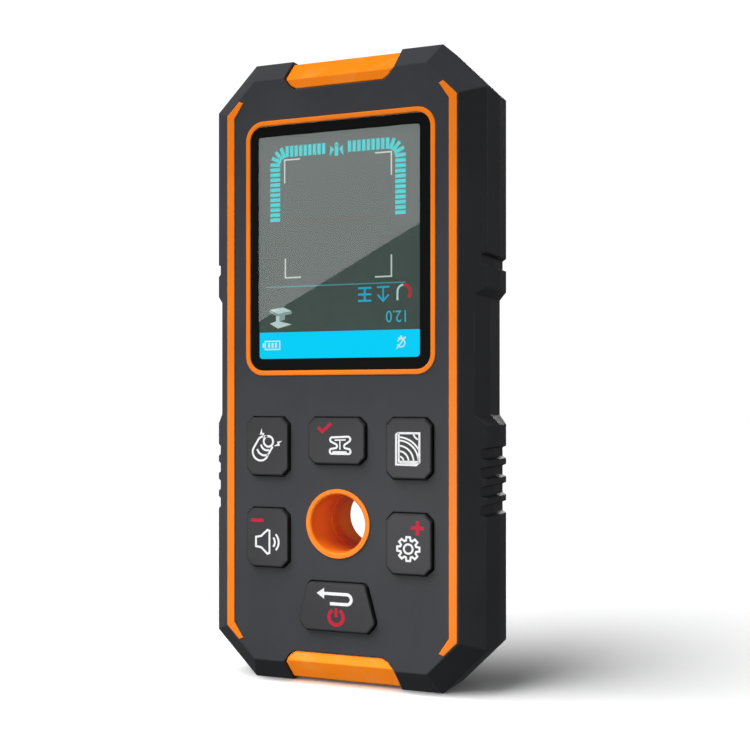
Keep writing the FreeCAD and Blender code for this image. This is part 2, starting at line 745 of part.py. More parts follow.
def bumper_seat_profile(end):
    """What the bumper's seat removes from the casing behind the front face."""
    rise = BUMPER_SHOULDER - dim.bumper_sink
    inner_rise = rise - (dim.bumper_thick + dim.inlay_gap) * ROOT_TWO
    inner_crown = BUMPER_CROWN - dim.bumper_thick - dim.inlay_gap
    inner_face = dim.bumper_sink + dim.bumper_thick + dim.inlay_gap
    over = HALF_HEIGHT + BEYOND
    corners = [
        (inner_face, inner_rise + inner_face),
        (inner_crown - inner_rise, inner_crown),
        (dim.parting_depth + BEYOND, inner_crown),
        (dim.parting_depth + BEYOND, over),
        (inner_face, over),
    ]
    return polygon([(depth, up * end) for depth, up in corners])


def bumper_face_outline(end, over, grow):
    """A bumper's outline on the front face: narrower at its foot, rounded at the corners."""
    toe = dim.bumper_toe + grow
    half = dim.bumper_half + grow
    foot = BUMPER_FOOT - grow
    slant = (half - toe) / (FACE_END - foot)
    turn = dim.bumper_round
    side = [
        (half, over),
        (half, FACE_END),
        (toe + slant * turn, foot + turn),
        (toe - turn, foot),
    ]
    corners = side + [(-across, up) for across, up in reversed(side)]
    return polygon([(across, up * end) for across, up in corners])


def bosses(radius):
    """Four circles, one at each case screw."""
    return [
        circle(BOSS_ACROSS * side, BOSS_LEVEL * end, radius)
        for side in (-1, 1)
        for end in (-1, 1)
    ]


def posts(radius):
    """Four circles, one at each board screw."""
    return [
        circle(dim.post_across * side, level, radius)
        for side in (-1, 1)
        for level in (dim.post_upper, dim.post_lower)
    ]


def front_housing():
    """The front half: a bevelled tray, open at the back, with seats for everything inlaid."""
    inner_face = dim.face_wall
    through = dim.face_wall + dim.joint_gap
    boss_end = dim.parting_depth - dim.joint_gap
    core = Piece("front_core", is_core=True)
    core.pad(inner_face, dim.parting_depth + BEYOND, hollow(dim.side_wall, dim.end_wall))
    core.dress("Chamfer", dim.inner_bevel, lambda edge: at_depth(edge, inner_face))
    piece = Piece("front_housing")
    piece.pad(0, dim.parting_depth, octagon(0, 0))
    piece.dress("Chamfer", dim.front_bevel, lambda edge: at_depth(edge, 0))
    piece.dress("Fillet", dim.edge_round, lambda edge: not at_depth(edge, dim.parting_depth))
    piece.hollow_out(core)
    piece.pad(inner_face - dim.joint_gap, boss_end, *bosses(dim.boss_radius))
    piece.pad(inner_face - dim.joint_gap, dim.board_depth, *posts(dim.post_radius))
    thread_end = screw_under_head() - dim.screw_length - dim.screw_sink
    piece.cut(thread_end, boss_end + BEYOND, *bosses(dim.screw_radius + dim.thread_gap))
    board_thread_end = BOARD_BACK - dim.board_screw_length - dim.joint_gap
    board_thread = dim.board_screw + dim.thread_gap
    piece.cut(board_thread_end, dim.board_depth + dim.joint_gap, *posts(board_thread))
    cut_grips(piece, -BEYOND, dim.parting_depth + BEYOND)
    piece.cut(-BEYOND, through, *[key_slot(name, 0) for name in KEYS])
    piece.dress("Fillet", dim.back_key_round + dim.key_gap, is_back_slot_corner)
    piece.cut(-BEYOND, through, circle(0, dim.hole_level, SLEEVE_OUTER + dim.sleeve_gap))
    piece.cut(-BEYOND, dim.trim_seat, trim_outline(dim.inlay_gap))
    piece.cut(0, through, view_outline(0))
    stripe_floor = dim.stripe_thick - dim.stripe_proud
    stripes = [stripe_outline(side, dim.inlay_gap) for side in (-1, 1)]
    piece.cut(-BEYOND, stripe_floor, *stripes)
    seat_depth = dim.bumper_sink + dim.bumper_thick + dim.inlay_gap
    over = HALF_HEIGHT + BEYOND
    seats = [bumper_face_outline(end, over, dim.bumper_gap) for end in (-1, 1)]
    piece.cut(-BEYOND, seat_depth, *seats)
    behind = [bumper_seat_profile(end) for end in (-1, 1)]
    piece.cut_across(dim.bumper_half + dim.bumper_gap, *behind)


def screw_under_head():
    """The depth of the underside of a case screw's head."""
    return BODY_DEPTH - dim.screw_sink - dim.screw_head_thick


def bay_outline(grow):
    """The battery bay, seen from the front, grown outwards by a wall."""
    half = BAY_HALF + grow
    reach = BAY_REACH + grow
    return box(-half, half, dim.tray_level - reach, dim.tray_level + reach)


def door_outline(grow):
    """The battery door, seen from the front, with the rounded pivot edge included."""
    half = DOOR_HALF + grow
    return box(-half, half, DOOR_PIVOT - dim.door_thick / 2 - grow, DOOR_TOP + grow)


def rear_channel(end):
    """The shallow channel that carries a bumper's line on across the rear half."""
    low = BUMPER_CROWN * end
    high = (HALF_HEIGHT + BEYOND) * end
    start = dim.parting_depth - BEYOND
    stop = BODY_DEPTH + BEYOND
    return polygon([(start, low), (stop, low), (stop, high), (start, high)])


def rear_housing():
    """The rear half: a shallow tray with a lip, screw bosses and the battery bay."""
    inner_face = BODY_DEPTH - dim.back_wall
    beyond_back = BODY_DEPTH + BEYOND
    core = Piece("rear_core", is_core=True)
    core.pad(dim.parting_depth - BEYOND, inner_face, hollow(dim.side_wall, dim.end_wall))
    core.dress("Chamfer", dim.rear_inner_bevel, lambda edge: at_depth(edge, inner_face))
    piece = Piece("rear_housing")
    piece.pad(dim.parting_depth, BODY_DEPTH, octagon(0, 0))
    piece.dress("Chamfer", dim.rear_bevel, lambda edge: at_depth(edge, BODY_DEPTH))
    piece.dress("Fillet", dim.edge_round, lambda edge: not at_depth(edge, dim.parting_depth))
    piece.hollow_out(core)
    gap = dim.lip_gap
    inside = hollow(dim.side_wall + gap + dim.lip_thick, dim.end_wall + gap + dim.lip_thick)
    lip_start = dim.parting_depth - dim.lip_height
    lip_root = dim.parting_depth + dim.lip_height
    piece.pad(dim.parting_depth, lip_root, hollow(dim.side_wall / 2, dim.end_wall / 2), inside)
    piece.pad(lip_start, dim.parting_depth, hollow(dim.side_wall + gap, dim.end_wall + gap), inside)
    piece.pad(dim.parting_depth, inner_face + dim.joint_gap, *bosses(dim.boss_radius))
    piece.pad(BAY_FLOOR - dim.tray_wall, inner_face + dim.joint_gap, bay_outline(dim.tray_wall))
    frame_start = BODY_DEPTH - dim.door_thick - dim.frame_thick - dim.joint_gap
    frame = door_outline(dim.door_gap + dim.frame_side)
    piece.pad(frame_start, inner_face + dim.joint_gap, frame)
    piece.cut(BAY_FLOOR, beyond_back, bay_outline(0))
    door_seat = BODY_DEPTH - dim.door_thick - dim.joint_gap
    piece.cut(door_seat, beyond_back, door_outline(dim.door_gap))
    notch = box(-dim.notch_half, dim.notch_half, DOOR_TOP, DOOR_TOP + dim.notch_height)
    piece.cut(BODY_DEPTH - dim.notch_sink, beyond_back, notch)
    socket_reach = DOOR_HALF + dim.pin_length + dim.pin_gap * 2
    piece.cut_across(socket_reach, door_pivot_circle(dim.pin_radius + dim.pin_gap))
    piece.cut(lip_start, beyond_back, *bosses(dim.screw_radius + dim.pass_gap))
    piece.cut(screw_under_head(), beyond_back, *bosses(dim.screw_head + dim.pass_gap))
    piece.cut(inner_face - BEYOND, beyond_back, sleeve_circle(SLEEVE_OUTER + dim.sleeve_gap))
    pad_floor = BODY_DEPTH - dim.pad_thick + dim.pad_proud
    piece.cut(pad_floor, beyond_back, *pad_outlines(dim.inlay_gap))
    piece.cut_across(dim.bumper_half + dim.bumper_gap, rear_channel(-1), rear_channel(1))
    cut_grips(piece, dim.parting_depth - BEYOND, beyond_back)


def pad_outlines(grow):
    """The four glide pads near the corners of the rear face."""
    half = (dim.pad_half + grow, dim.pad_tall + grow)
    return [
        rounded_box(dim.pad_across * side, (HALF_HEIGHT - dim.pad_inset) * end, *half, dim.pad_tall / 2)
        for side in (-1, 1)
        for end in (-1, 1)
    ]


def glide_pads():
    """Four soft pads that let the rear face slide on a wall."""
    piece = Piece("glide_pads")
    top = BODY_DEPTH + dim.pad_proud
    piece.pad(top - dim.pad_thick, top, *pad_outlines(0))


def stripe(label, side):
    """One orange stripe, laid into the front face."""
    piece = Piece(label)
    piece.pad(-dim.stripe_proud, dim.stripe_thick - dim.stripe_proud, stripe_outline(side, 0))


def is_bumper_rim(edge):
    """Whether an edge of a bumper borders the surface that shows."""
    middle = edge.CenterOfMass
    inner = dim.bumper_thick.number / 2
    depth_under_face = middle.y - dim.bumper_sink.number
    depth_under_crown = BUMPER_CROWN.number - abs(middle.z)
    bevel = BUMPER_SHOULDER.number + depth_under_face
    depth_under_bevel = (bevel - abs(middle.z)) / ROOT_TWO
    across = abs(middle.x) > dim.bumper_half.number / 2
    under = min(depth_under_face, depth_under_crown, depth_under_bevel)
    at_foot = edge.BoundBox.XLength > dim.bumper_half.number and middle.y < inner
    foot_edge = at_foot and abs(middle.z) < BUMPER_FOOT.number + 0.01
    return under < 0.01 and (across or foot_edge)


def bumper(label, end):
    """One orange end bumper, which wraps from the front face over the bevel to the parting line."""
    piece = Piece(label)
    piece.pad_across(dim.bumper_half, bumper_profile(end, 0))
    toe = dim.bumper_toe
    slant = (dim.bumper_half - toe) / (FACE_END - BUMPER_FOOT)
    turn = dim.bumper_round
    waste = []
    for side in (-1, 1):
        outside = dim.bumper_half + BEYOND
        corners = [
            (toe - turn, BUMPER_FOOT - BEYOND),
            (toe - turn, BUMPER_FOOT),
            (toe + slant * turn, BUMPER_FOOT + turn),
            (dim.bumper_half, FACE_END),
            (outside, FACE_END),
            (outside, BUMPER_FOOT - BEYOND),
        ]
        waste.append(polygon([(across * side, up * end) for across, up in corners]))
    piece.cut(-BEYOND, dim.bumper_sink + dim.bumper_thick + dim.inlay_gap, *waste)
    piece.dress("Fillet", dim.bumper_edge, is_bumper_rim)


# ---------------------------------------------------------------- window and display


def view_outline(grow):
    """The opening behind the window."""
    return rounded_box(0, dim.trim_level, VIEW_WIDE + grow, VIEW_TALL + grow, dim.view_round)


def trim_outline(grow):
    """The outside of the window trim."""
    half = (dim.trim_width / 2 + grow, dim.trim_height / 2 + grow)
    return rounded_box(0, dim.trim_level, *half, dim.trim_round + grow)


def window_outline(gap):
    """The inside of the window trim, or the window that fits it with a gap."""
    inset = dim.trim_band + gap
    half = (dim.trim_width / 2 - inset, dim.trim_height / 2 - inset)
    return rounded_box(0, dim.trim_level, *half, dim.trim_round - inset)


def window_pieces():
    """The orange trim and the clear window inside it, both in one seat in the front face."""
    trim = Piece("window_trim")
    trim.pad(-dim.trim_proud, dim.trim_seat, trim_outline(0), window_outline(0))
    outer_front = -dim.trim_proud.number
    trim.dress("Fillet", dim.trim_proud * 0.8, lambda edge: at_depth(edge, outer_front))
    window = Piece("window")
    window.pad(dim.window_sink, dim.trim_seat, window_outline(dim.inlay_gap))


def display():
    """The display module behind the window: gasket, glass, backlight, carrier and ribbon."""
    glass_front = dim.face_wall + dim.gasket_thick
    light_front = glass_front + dim.lcd_glass
    light_back = light_front + dim.lcd_light
    gasket = Piece("display_gasket")
    gasket.pad(dim.face_wall, glass_front, view_outline(dim.gasket_band), view_outline(0))
    glass = Piece("lcd_glass")
    margin = dim.lcd_margin
    glass.pad(
        glass_front,
        light_front,
        box(margin - LCD_WIDE, LCD_WIDE - margin, LCD_BOTTOM + margin, LCD_TOP - margin),
    )
    light = Piece("lcd_backlight")
    light.pad(light_front, light_back, box(-LCD_WIDE, LCD_WIDE, LCD_BOTTOM, LCD_TOP))
    wall = dim.carrier_wall
    rib_level = dim.trim_level
    carrier = Piece("lcd_carrier")
    inner_wide = LCD_WIDE - wall
    carrier.pad(
        light_back,
        dim.board_depth,
        box(-LCD_WIDE, LCD_WIDE, LCD_BOTTOM, LCD_TOP),
        box(-inner_wide, inner_wide, LCD_BOTTOM + wall, rib_level - wall / 2),
        box(-inner_wide, inner_wide, rib_level + wall / 2, LCD_TOP - wall),
    )
    fold_inner = LCD_TOP + wall
    fold_outer = fold_inner + dim.ribbon_thick
    socket_front = dim.board_depth - dim.ribbon_socket
    ribbon_front = light_front + dim.ribbon_thick
    ribbon = Piece("lcd_ribbon")
    ribbon.pad_across(
        dim.ribbon_width / 2,
        polygon(
            [
                (ribbon_front, LCD_TOP),
                (ribbon_front, fold_outer),
                (socket_front, fold_outer),
                (socket_front, fold_inner),
                (ribbon_front + dim.ribbon_thick, fold_inner),
                (ribbon_front + dim.ribbon_thick, LCD_TOP),
            ]
        ),
    )
    socket = Piece("ribbon_socket")
    half_socket = dim.ribbon_width / 2 + wall
    socket_outline = box(-half_socket, half_socket, LCD_TOP + wall / 2, BOARD_TOP)
    socket.pad(socket_front, dim.board_depth, socket_outline)


# ---------------------------------------------------------------- marking hole and sensor


def sleeve_circle(radius):
    """A circle on the marking hole's axis."""
    return circle(0, dim.hole_level, radius)


def sleeves():
    """The two orange sleeves that line the marking hole and meet inside."""
    for label, start, stop in (
        ("front_sleeve", -dim.sleeve_proud, dim.sleeve_split),
        ("rear_sleeve", dim.sleeve_split, BODY_DEPTH),
    ):
        piece = Piece(label)
        piece.pad(start, stop, sleeve_circle(SLEEVE_OUTER), sleeve_circle(dim.hole_bore))
        piece.dress("Chamfer", dim.sleeve_edge, is_bore_edge)


def is_bore_edge(edge):
    """Whether an edge is one of the circles at the ends of the marking hole's bore."""
    return edge.BoundBox.YLength < 0.01 and near(edge.BoundBox.XMax, dim.hole_bore)


def coil():
    """The metal-sensing coil round the sleeves: a spool and its winding."""
    inner = sleeve_circle(SLEEVE_OUTER + dim.sleeve_gap)
    spool = Piece("coil_former")
    spool.pad(COIL_FRONT, COIL_BACK, sleeve_circle(COIL_HUB), inner)
    flange = sleeve_circle(WINDING_OUTER + dim.coil_rim)
    spool.pad(COIL_FRONT, COIL_FRONT + dim.coil_flange, flange, inner)
    spool.pad(COIL_BACK - dim.coil_flange, COIL_BACK, flange, inner)
    winding = Piece("coil_winding")
    gap = dim.inlay_gap
    start = COIL_FRONT + dim.coil_flange + gap
    stop = COIL_BACK - dim.coil_flange - gap
    winding.pad(start, stop, sleeve_circle(WINDING_OUTER), sleeve_circle(COIL_HUB + gap))


def sensor_plate():
    """The sensing board behind the rear wall, with its two copper areas."""
    middle = (dim.plate_top + PLATE_BOTTOM) / 2
    half_tall = (dim.plate_top - PLATE_BOTTOM) / 2
    back = PLATE_DEPTH + dim.plate_thick
    hole = sleeve_circle(SLEEVE_OUTER + dim.board_gap)
    plate = Piece("sensor_plate")
    half_wide = HALF_WIDTH - dim.plate_inset
    outline = rounded_box(0, middle, half_wide, half_tall, dim.board_corner)
    plate.pad(PLATE_DEPTH, back, outline, hole)
    copper = Piece("sensor_electrodes")
    edge = dim.board_corner
    clear = SLEEVE_OUTER + dim.board_gap + edge
    areas = []
    for side in (-1, 1):
        sides = sorted([clear * side, (half_wide - edge) * side], key=lambda term: term.number)
        areas.append(box(*sides, PLATE_BOTTOM + edge, dim.plate_top - edge))
    copper.pad(back, back + dim.foil_thick, *areas)


# ---------------------------------------------------------------- boards and electronics


def main_board():
    """The main circuit board, with holes for the sleeve and for its screws."""
    middle = (BOARD_TOP + BOARD_BOTTOM) / 2
    half_tall = (BOARD_TOP - BOARD_BOTTOM) / 2
    piece = Piece("main_board")
    outline = rounded_box(0, middle, BOARD_HALF, half_tall, dim.board_corner)
    hole = sleeve_circle(SLEEVE_OUTER + dim.board_gap)
    holes = posts(dim.board_screw + dim.pass_gap)
    piece.pad(dim.board_depth, BOARD_BACK, outline, hole, *holes)


def board_parts():
    """The chips, the buzzer and the pin strip on the back of the main board."""
    chips = Piece("board_chips")
    outlines = [
        box(across - side / 2, across + side / 2, level - side / 2, level + side / 2)
        for across, level, side in (
            (size(0), dim.chip_level, dim.chip_side),
            (-dim.chip_spacing, dim.chip_level, dim.small_chip_side),
            (-dim.chip_spacing, -dim.small_chip_low, dim.small_chip_side),
            (dim.chip_spacing, -dim.small_chip_low, dim.small_chip_side),
        )
    ]
    chips.pad(BOARD_BACK, BOARD_BACK + dim.chip_thick, *outlines)
    buzzer = Piece("buzzer")
    centre = (dim.buzzer_across, dim.buzzer_level)
    buzzer_top = BOARD_BACK + dim.buzzer_thick
    buzzer.pad(BOARD_BACK, buzzer_top, circle(*centre, dim.buzzer_radius))
    sound_hole = circle(*centre, dim.buzzer_radius / 5)
    buzzer.cut(buzzer_top - dim.buzzer_thick / 2, buzzer_top + BEYOND, sound_hole)
    strip = Piece("board_link")
    half = (dim.link_wide / 2, dim.link_height / 2)
    middle = (dim.link_across, dim.link_level)
    strip.pad(
        BOARD_BACK,
        PLATE_DEPTH,
        box(middle[0] - half[0], middle[0] + half[0], middle[1] - half[1], middle[1] + half[1]),
    )


def cross(across, up, reach, half):
    """A cross-shaped outline, for a screwdriver recess."""
    quarter = [(half, reach), (half, half), (reach, half)]
    corners = quarter + [(reach, -half), (half, -half), (half, -reach)]
    corners += [(-half, -reach), (-half, -half), (-reach, -half)]
    corners += [(-reach, half), (-half, half), (-half, reach)]
    return polygon([(across + x, up + y) for x, y in corners])


def screws():
    """The four case screws and the four board screws, all driven from behind."""
    places = [(BOSS_ACROSS * side, BOSS_LEVEL * end) for side in (-1, 1) for end in (-1, 1)]
    under = screw_under_head()
    top = under + dim.screw_head_thick
    case = Piece("case_screws")
    case.pad(under - dim.screw_length, top, *bosses(dim.screw_radius))
    case.pad(under, top, *bosses(dim.screw_head))
    recess = [cross(*place, dim.cross_reach, dim.cross_width) for place in places]
    case.cut(top - dim.cross_sink, top + BEYOND, *recess)
    board = Piece("board_screws")
    board.pad(BOARD_BACK - dim.board_screw_length, BOARD_BACK, *posts(dim.board_screw))
    board.pad(BOARD_BACK, BOARD_BACK + dim.board_screw_thick, *posts(dim.board_screw_head))


# ---------------------------------------------------------------- keys and switches


def key(label, name):
    """One key: cap, retaining flange behind the front wall, and the plunger to its switch."""
    flange_front = dim.face_wall + dim.joint_gap
    flange_back = flange_front + dim.key_flange_thick
    face = -dim.key_proud
    piece = Piece(label)
    piece.pad(face, flange_back, key_slot(name, -dim.key_gap))
    piece.dress("Fillet", key_corner_radius(name), along_depth)
    piece.dress("Fillet", dim.key_edge, lambda edge: at_depth(edge, face))
    piece.pad(flange_front, flange_back, key_slot(name, dim.key_flange))
    piece.pad(flange_back, stem_top(), circle(*key_centre(name), dim.plunger_radius))


def key_corner_radius(name):
    """The lowest key has large round corners, and the cut corners of the others small ones."""
    return dim.back_key_round if name == "back" else dim.key_round


def stem_top():
    """The depth where a plunger meets its switch's stem."""
    return dim.board_depth - dim.switch_tall - dim.stem_proud


def switches():
    """The six tactile switches: bodies in one group, and a stem that moves with each key."""
    front = dim.board_depth - dim.switch_tall
    half = dim.switch_size / 2
    centres = [key_centre(name) for name in KEYS]
    cases = Piece("switch_bodies")
    squares = [box(x - half, x + half, y - half, y + half) for x, y in centres]
    cases.pad(front, dim.board_depth, *squares)
    wells = [circle(x, y, dim.stem_radius + dim.stem_gap) for x, y in centres]
    cases.cut(front - BEYOND, front + dim.stem_well, *wells)
    for name, centre in zip(KEYS, centres):
        stem = Piece(f"{name}_stem")
        stem.pad(stem_top(), front + dim.stem_sunk, circle(*centre, dim.stem_radius))


# ---------------------------------------------------------------- batteries


def cell_places():
    """The three cells: across, and whether the cell's nub points down."""
    return (
        ("left", -CELL_PITCH, False),
        ("middle", size(0), True),
        ("right", CELL_PITCH, False),
    )


def cell_span():
    """The levels of the two ends of a cell, nub included, when its nub points up."""
    total = dim.cell_length + dim.nub_length
    return dim.tray_level - total / 2, dim.tray_level + total / 2


def battery_cells():
    """Three slim cells side by side, the middle one turned round."""
    low, high = cell_span()
    for name, across, turned in cell_places():
        axis = (across, CELL_DEPTH)
        can = (low + dim.nub_length, high) if turned else (low, high - dim.nub_length)
        piece = Piece(f"battery_{name}")
        piece.pad_up(*can, circle(*axis, dim.cell_radius))
        piece.dress("Fillet", dim.cell_round, lambda edge: edge.BoundBox.ZLength < 0.01)
        nub = (low, can[0]) if turned else (can[1], high)
        piece.pad_up(*nub, circle(*axis, dim.nub_radius))


def battery_contacts():
    """The sprung and the pressed contact plates at the ends of the bay."""
    low, high = cell_span()
    floor = dim.tray_level - BAY_REACH
    ceiling = dim.tray_level + BAY_REACH
    thick = dim.contact_thick
    springs = Piece("spring_contacts")
    buttons = Piece("button_contacts")
    for _, across, turned in cell_places():
        plate = (
            across - dim.contact_half,
            across + dim.contact_half,
            CELL_DEPTH - dim.contact_half,
            CELL_DEPTH + dim.contact_half,
        )
        axis = (across, CELL_DEPTH)
        at_floor, at_ceiling = (buttons, springs) if turned else (springs, buttons)
        at_floor.pad_up(floor, floor + thick, box(*plate))
        at_ceiling.pad_up(ceiling - thick, ceiling, box(*plate))
        nub_end, button_end = (floor + thick, low) if turned else (high, ceiling - thick)
        buttons.pad_up(nub_end, button_end, circle(*axis, dim.nub_radius))


def battery_springs():
    """Three conical springs that press on the flat ends of the cells."""
    room = dim.spring_room - dim.contact_thick
    wire = dim.spring_wire.number
    height = room.number - 2 * wire
    coils = []
    for _, across, turned in cell_places():
        helix = Part.makeLongHelix(
            dim.spring_pitch.number, height, dim.spring_radius.number, -dim.spring_cone.number
        )
        start = FreeCAD.Vector(dim.spring_radius.number, 0, 0)
        ring = Part.makeCircle(wire, start, FreeCAD.Vector(0, 1, 0))
        coil_shape = Part.Wire(helix).makePipeShell([Part.Wire(ring)], True, True)
        base = (dim.tray_level - BAY_REACH + dim.contact_thick).number + wire
        if turned:
            coil_shape.rotate(FreeCAD.Vector(0, 0, 0), FreeCAD.Vector(1, 0, 0), 180)
            base = (dim.tray_level + BAY_REACH - dim.contact_thick).number - wire
        coil_shape.translate(FreeCAD.Vector(across.number, CELL_DEPTH.number, base))
        coils.append(coil_shape)
    springs = doc.addObject("Part::Feature", "battery_springs")
    springs.Label = "battery_springs"
    springs.Shape = Part.makeCompound(coils)
    put_in_row_frame(springs)
    pieces.append(springs)


def door_pivot_circle(radius):
    """A circle on the battery door's pivot axis, as depth and level."""
    return circle(BODY_DEPTH - dim.door_thick / 2, DOOR_PIVOT, radius)


def battery_door():
    """The battery door: a plate with a round pivot edge, two pivot pins and grip ribs."""
    inner = BODY_DEPTH - dim.door_thick
    half = DOOR_HALF
    piece = Piece("battery_door")
    piece.pad(inner, BODY_DEPTH, box(-half, half, DOOR_PIVOT, DOOR_TOP))
    top = DOOR_TOP
    piece.dress(
        "Fillet", dim.door_round, lambda edge: along_depth(edge) and near(edge.BoundBox.ZMax, top)
    )
    piece.pad_across(half, door_pivot_circle(dim.door_thick / 2))
    piece.pad_across(half + dim.pin_length, door_pivot_circle(dim.pin_radius))
    grooves = []
    for n in range(5):
        level = top - dim.rib_pitch * (n + 1)
        grooves.append(box(-dim.rib_half, dim.rib_half, level - dim.rib_height, level))
    piece.cut(BODY_DEPTH - dim.rib_sink, BODY_DEPTH + BEYOND, *grooves)


# ---------------------------------------------------------------- build, check, export


def check_document():
    """Stop if any object of the document failed, or any piece is empty or not valid."""
    doc.recompute()
    for item in doc.Objects:
        if "Invalid" in item.State or "Error" in item.State:
            raise RuntimeError(f"{item.Label} did not build")
    for piece in pieces:
        if piece.Shape.isNull() or not piece.Shape.isValid():
            raise RuntimeError(f"{piece.Label} has no valid shape")


def main():
    """Build every piece, check them and write one STEP file for each."""
    front_housing()
    rear_housing()
    glide_pads()
    stripe("left_stripe", -1)
    stripe("right_stripe", 1)
    bumper("top_bumper", 1)
    bumper("bottom_bumper", -1)
    window_pieces()
    display()
    sleeves()
    coil()
    sensor_plate()
    main_board()
    board_parts()
    screws()
    for name, label in KEYS.items():
        key(label, name)
    switches()
    battery_cells()
    battery_contacts()
    battery_springs()
    battery_door()
    check_document()
    os.makedirs("parts", exist_ok=True)
    for piece in pieces:
        piece.Shape.exportStep(f"parts/{piece.Label}.step")
        print(piece.Label, len(piece.Shape.Solids), round(piece.Shape.Volume, 1))


main()
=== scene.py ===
"""The looks of a handheld stud finder: its finishes, display picture, key symbols and studio."""

import enum
import json
import logging
import math
from dataclasses import dataclass
from typing import Any, Iterable, Optional, Sequence, Union

import bmesh
import bpy
from mathutils import Matrix, Vector

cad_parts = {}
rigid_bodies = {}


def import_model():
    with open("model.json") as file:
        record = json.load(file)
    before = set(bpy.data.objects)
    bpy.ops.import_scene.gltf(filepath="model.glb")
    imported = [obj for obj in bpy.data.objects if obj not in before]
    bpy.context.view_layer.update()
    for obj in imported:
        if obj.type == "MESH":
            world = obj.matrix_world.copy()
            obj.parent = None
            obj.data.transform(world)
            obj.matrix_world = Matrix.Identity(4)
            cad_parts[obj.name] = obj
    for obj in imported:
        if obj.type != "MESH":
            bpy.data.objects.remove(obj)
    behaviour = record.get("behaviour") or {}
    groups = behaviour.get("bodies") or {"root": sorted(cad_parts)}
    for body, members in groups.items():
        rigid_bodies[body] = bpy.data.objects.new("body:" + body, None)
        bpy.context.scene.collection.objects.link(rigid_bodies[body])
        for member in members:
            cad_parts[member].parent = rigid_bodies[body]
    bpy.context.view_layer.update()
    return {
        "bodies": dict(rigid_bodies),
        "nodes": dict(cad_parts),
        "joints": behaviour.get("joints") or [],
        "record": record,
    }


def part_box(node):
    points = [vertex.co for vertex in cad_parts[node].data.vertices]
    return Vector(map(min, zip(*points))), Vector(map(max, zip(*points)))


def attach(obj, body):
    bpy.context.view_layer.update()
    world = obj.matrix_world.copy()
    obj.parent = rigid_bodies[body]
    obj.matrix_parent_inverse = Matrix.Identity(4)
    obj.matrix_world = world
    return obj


LOG = logging.getLogger("stud_finder")

MILLIMETRES = 1000.0
KEY_NAMES = ("cable", "metal", "wood", "minus", "plus", "back")

Colour = tuple[float, float, float]
Spot = tuple[float, float]


# ---------------------------------------------------------------- shader arithmetic


class Socket:
    """One output of a shader node, which takes part in ordinary arithmetic."""

    def __init__(self, tree: "Tree", output: bpy.types.NodeSocket) -> None:
        """Keeps the output and the tree that it belongs to.

        Args:
            tree: The material's tree.
            output: The node's output.
        """
        self.tree = tree
        self.output = output

    def _math(self, operation: str, *terms: Any) -> "Socket":
        """A Math node over the terms."""
        values = dict(enumerate(terms))
        return self.tree.node("ShaderNodeMath", {"operation": operation}, values)

    def __add__(self, other: Any) -> "Socket":
        """This plus the other."""
        return self._math("ADD", self, other)

    def __radd__(self, other: Any) -> "Socket":
        """The other plus this."""
        return self._math("ADD", other, self)

    def __sub__(self, other: Any) -> "Socket":
        """This less the other."""
        return self._math("SUBTRACT", self, other)

    def __rsub__(self, other: Any) -> "Socket":
        """The other less this."""
        return self._math("SUBTRACT", other, self)

    def __mul__(self, other: Any) -> "Socket":
        """This times the other."""
        return self._math("MULTIPLY", self, other)

    def __rmul__(self, other: Any) -> "Socket":
        """The other times this."""
        return self._math("MULTIPLY", other, self)

    def sine(self) -> "Socket":
        """The sine of this."""
        return self._math("SINE", self)

    def size(self) -> "Socket":
        """This without its sign."""
        return self._math("ABSOLUTE", self)

    def root(self) -> "Socket":
        """The square root of this."""
        return self._math("SQRT", self)

    def least(self, other: Any) -> "Socket":
        """The smaller of the two."""
        return self._math("MINIMUM", self, other)

    def most(self, other: Any) -> "Socket":
        """The larger of the two."""
        return self._math("MAXIMUM", self, other)

    def ramp(self, low: float, high: float, start: float = 0.0, end: float = 1.0) -> "Socket":
        """A smooth step of this.

        Args:
            low: Where the step starts.
            high: Where the step ends.
            start: The result at and before its start.
            end: The result at and after its end.

        Returns:
            The stepped value.
        """
        settings = {"interpolation_type": "SMOOTHSTEP"}
        return self.tree.node("ShaderNodeMapRange", settings, {0: self, 1: low, 2: high, 3: start, 4: end})


Term = Union[Socket, float]


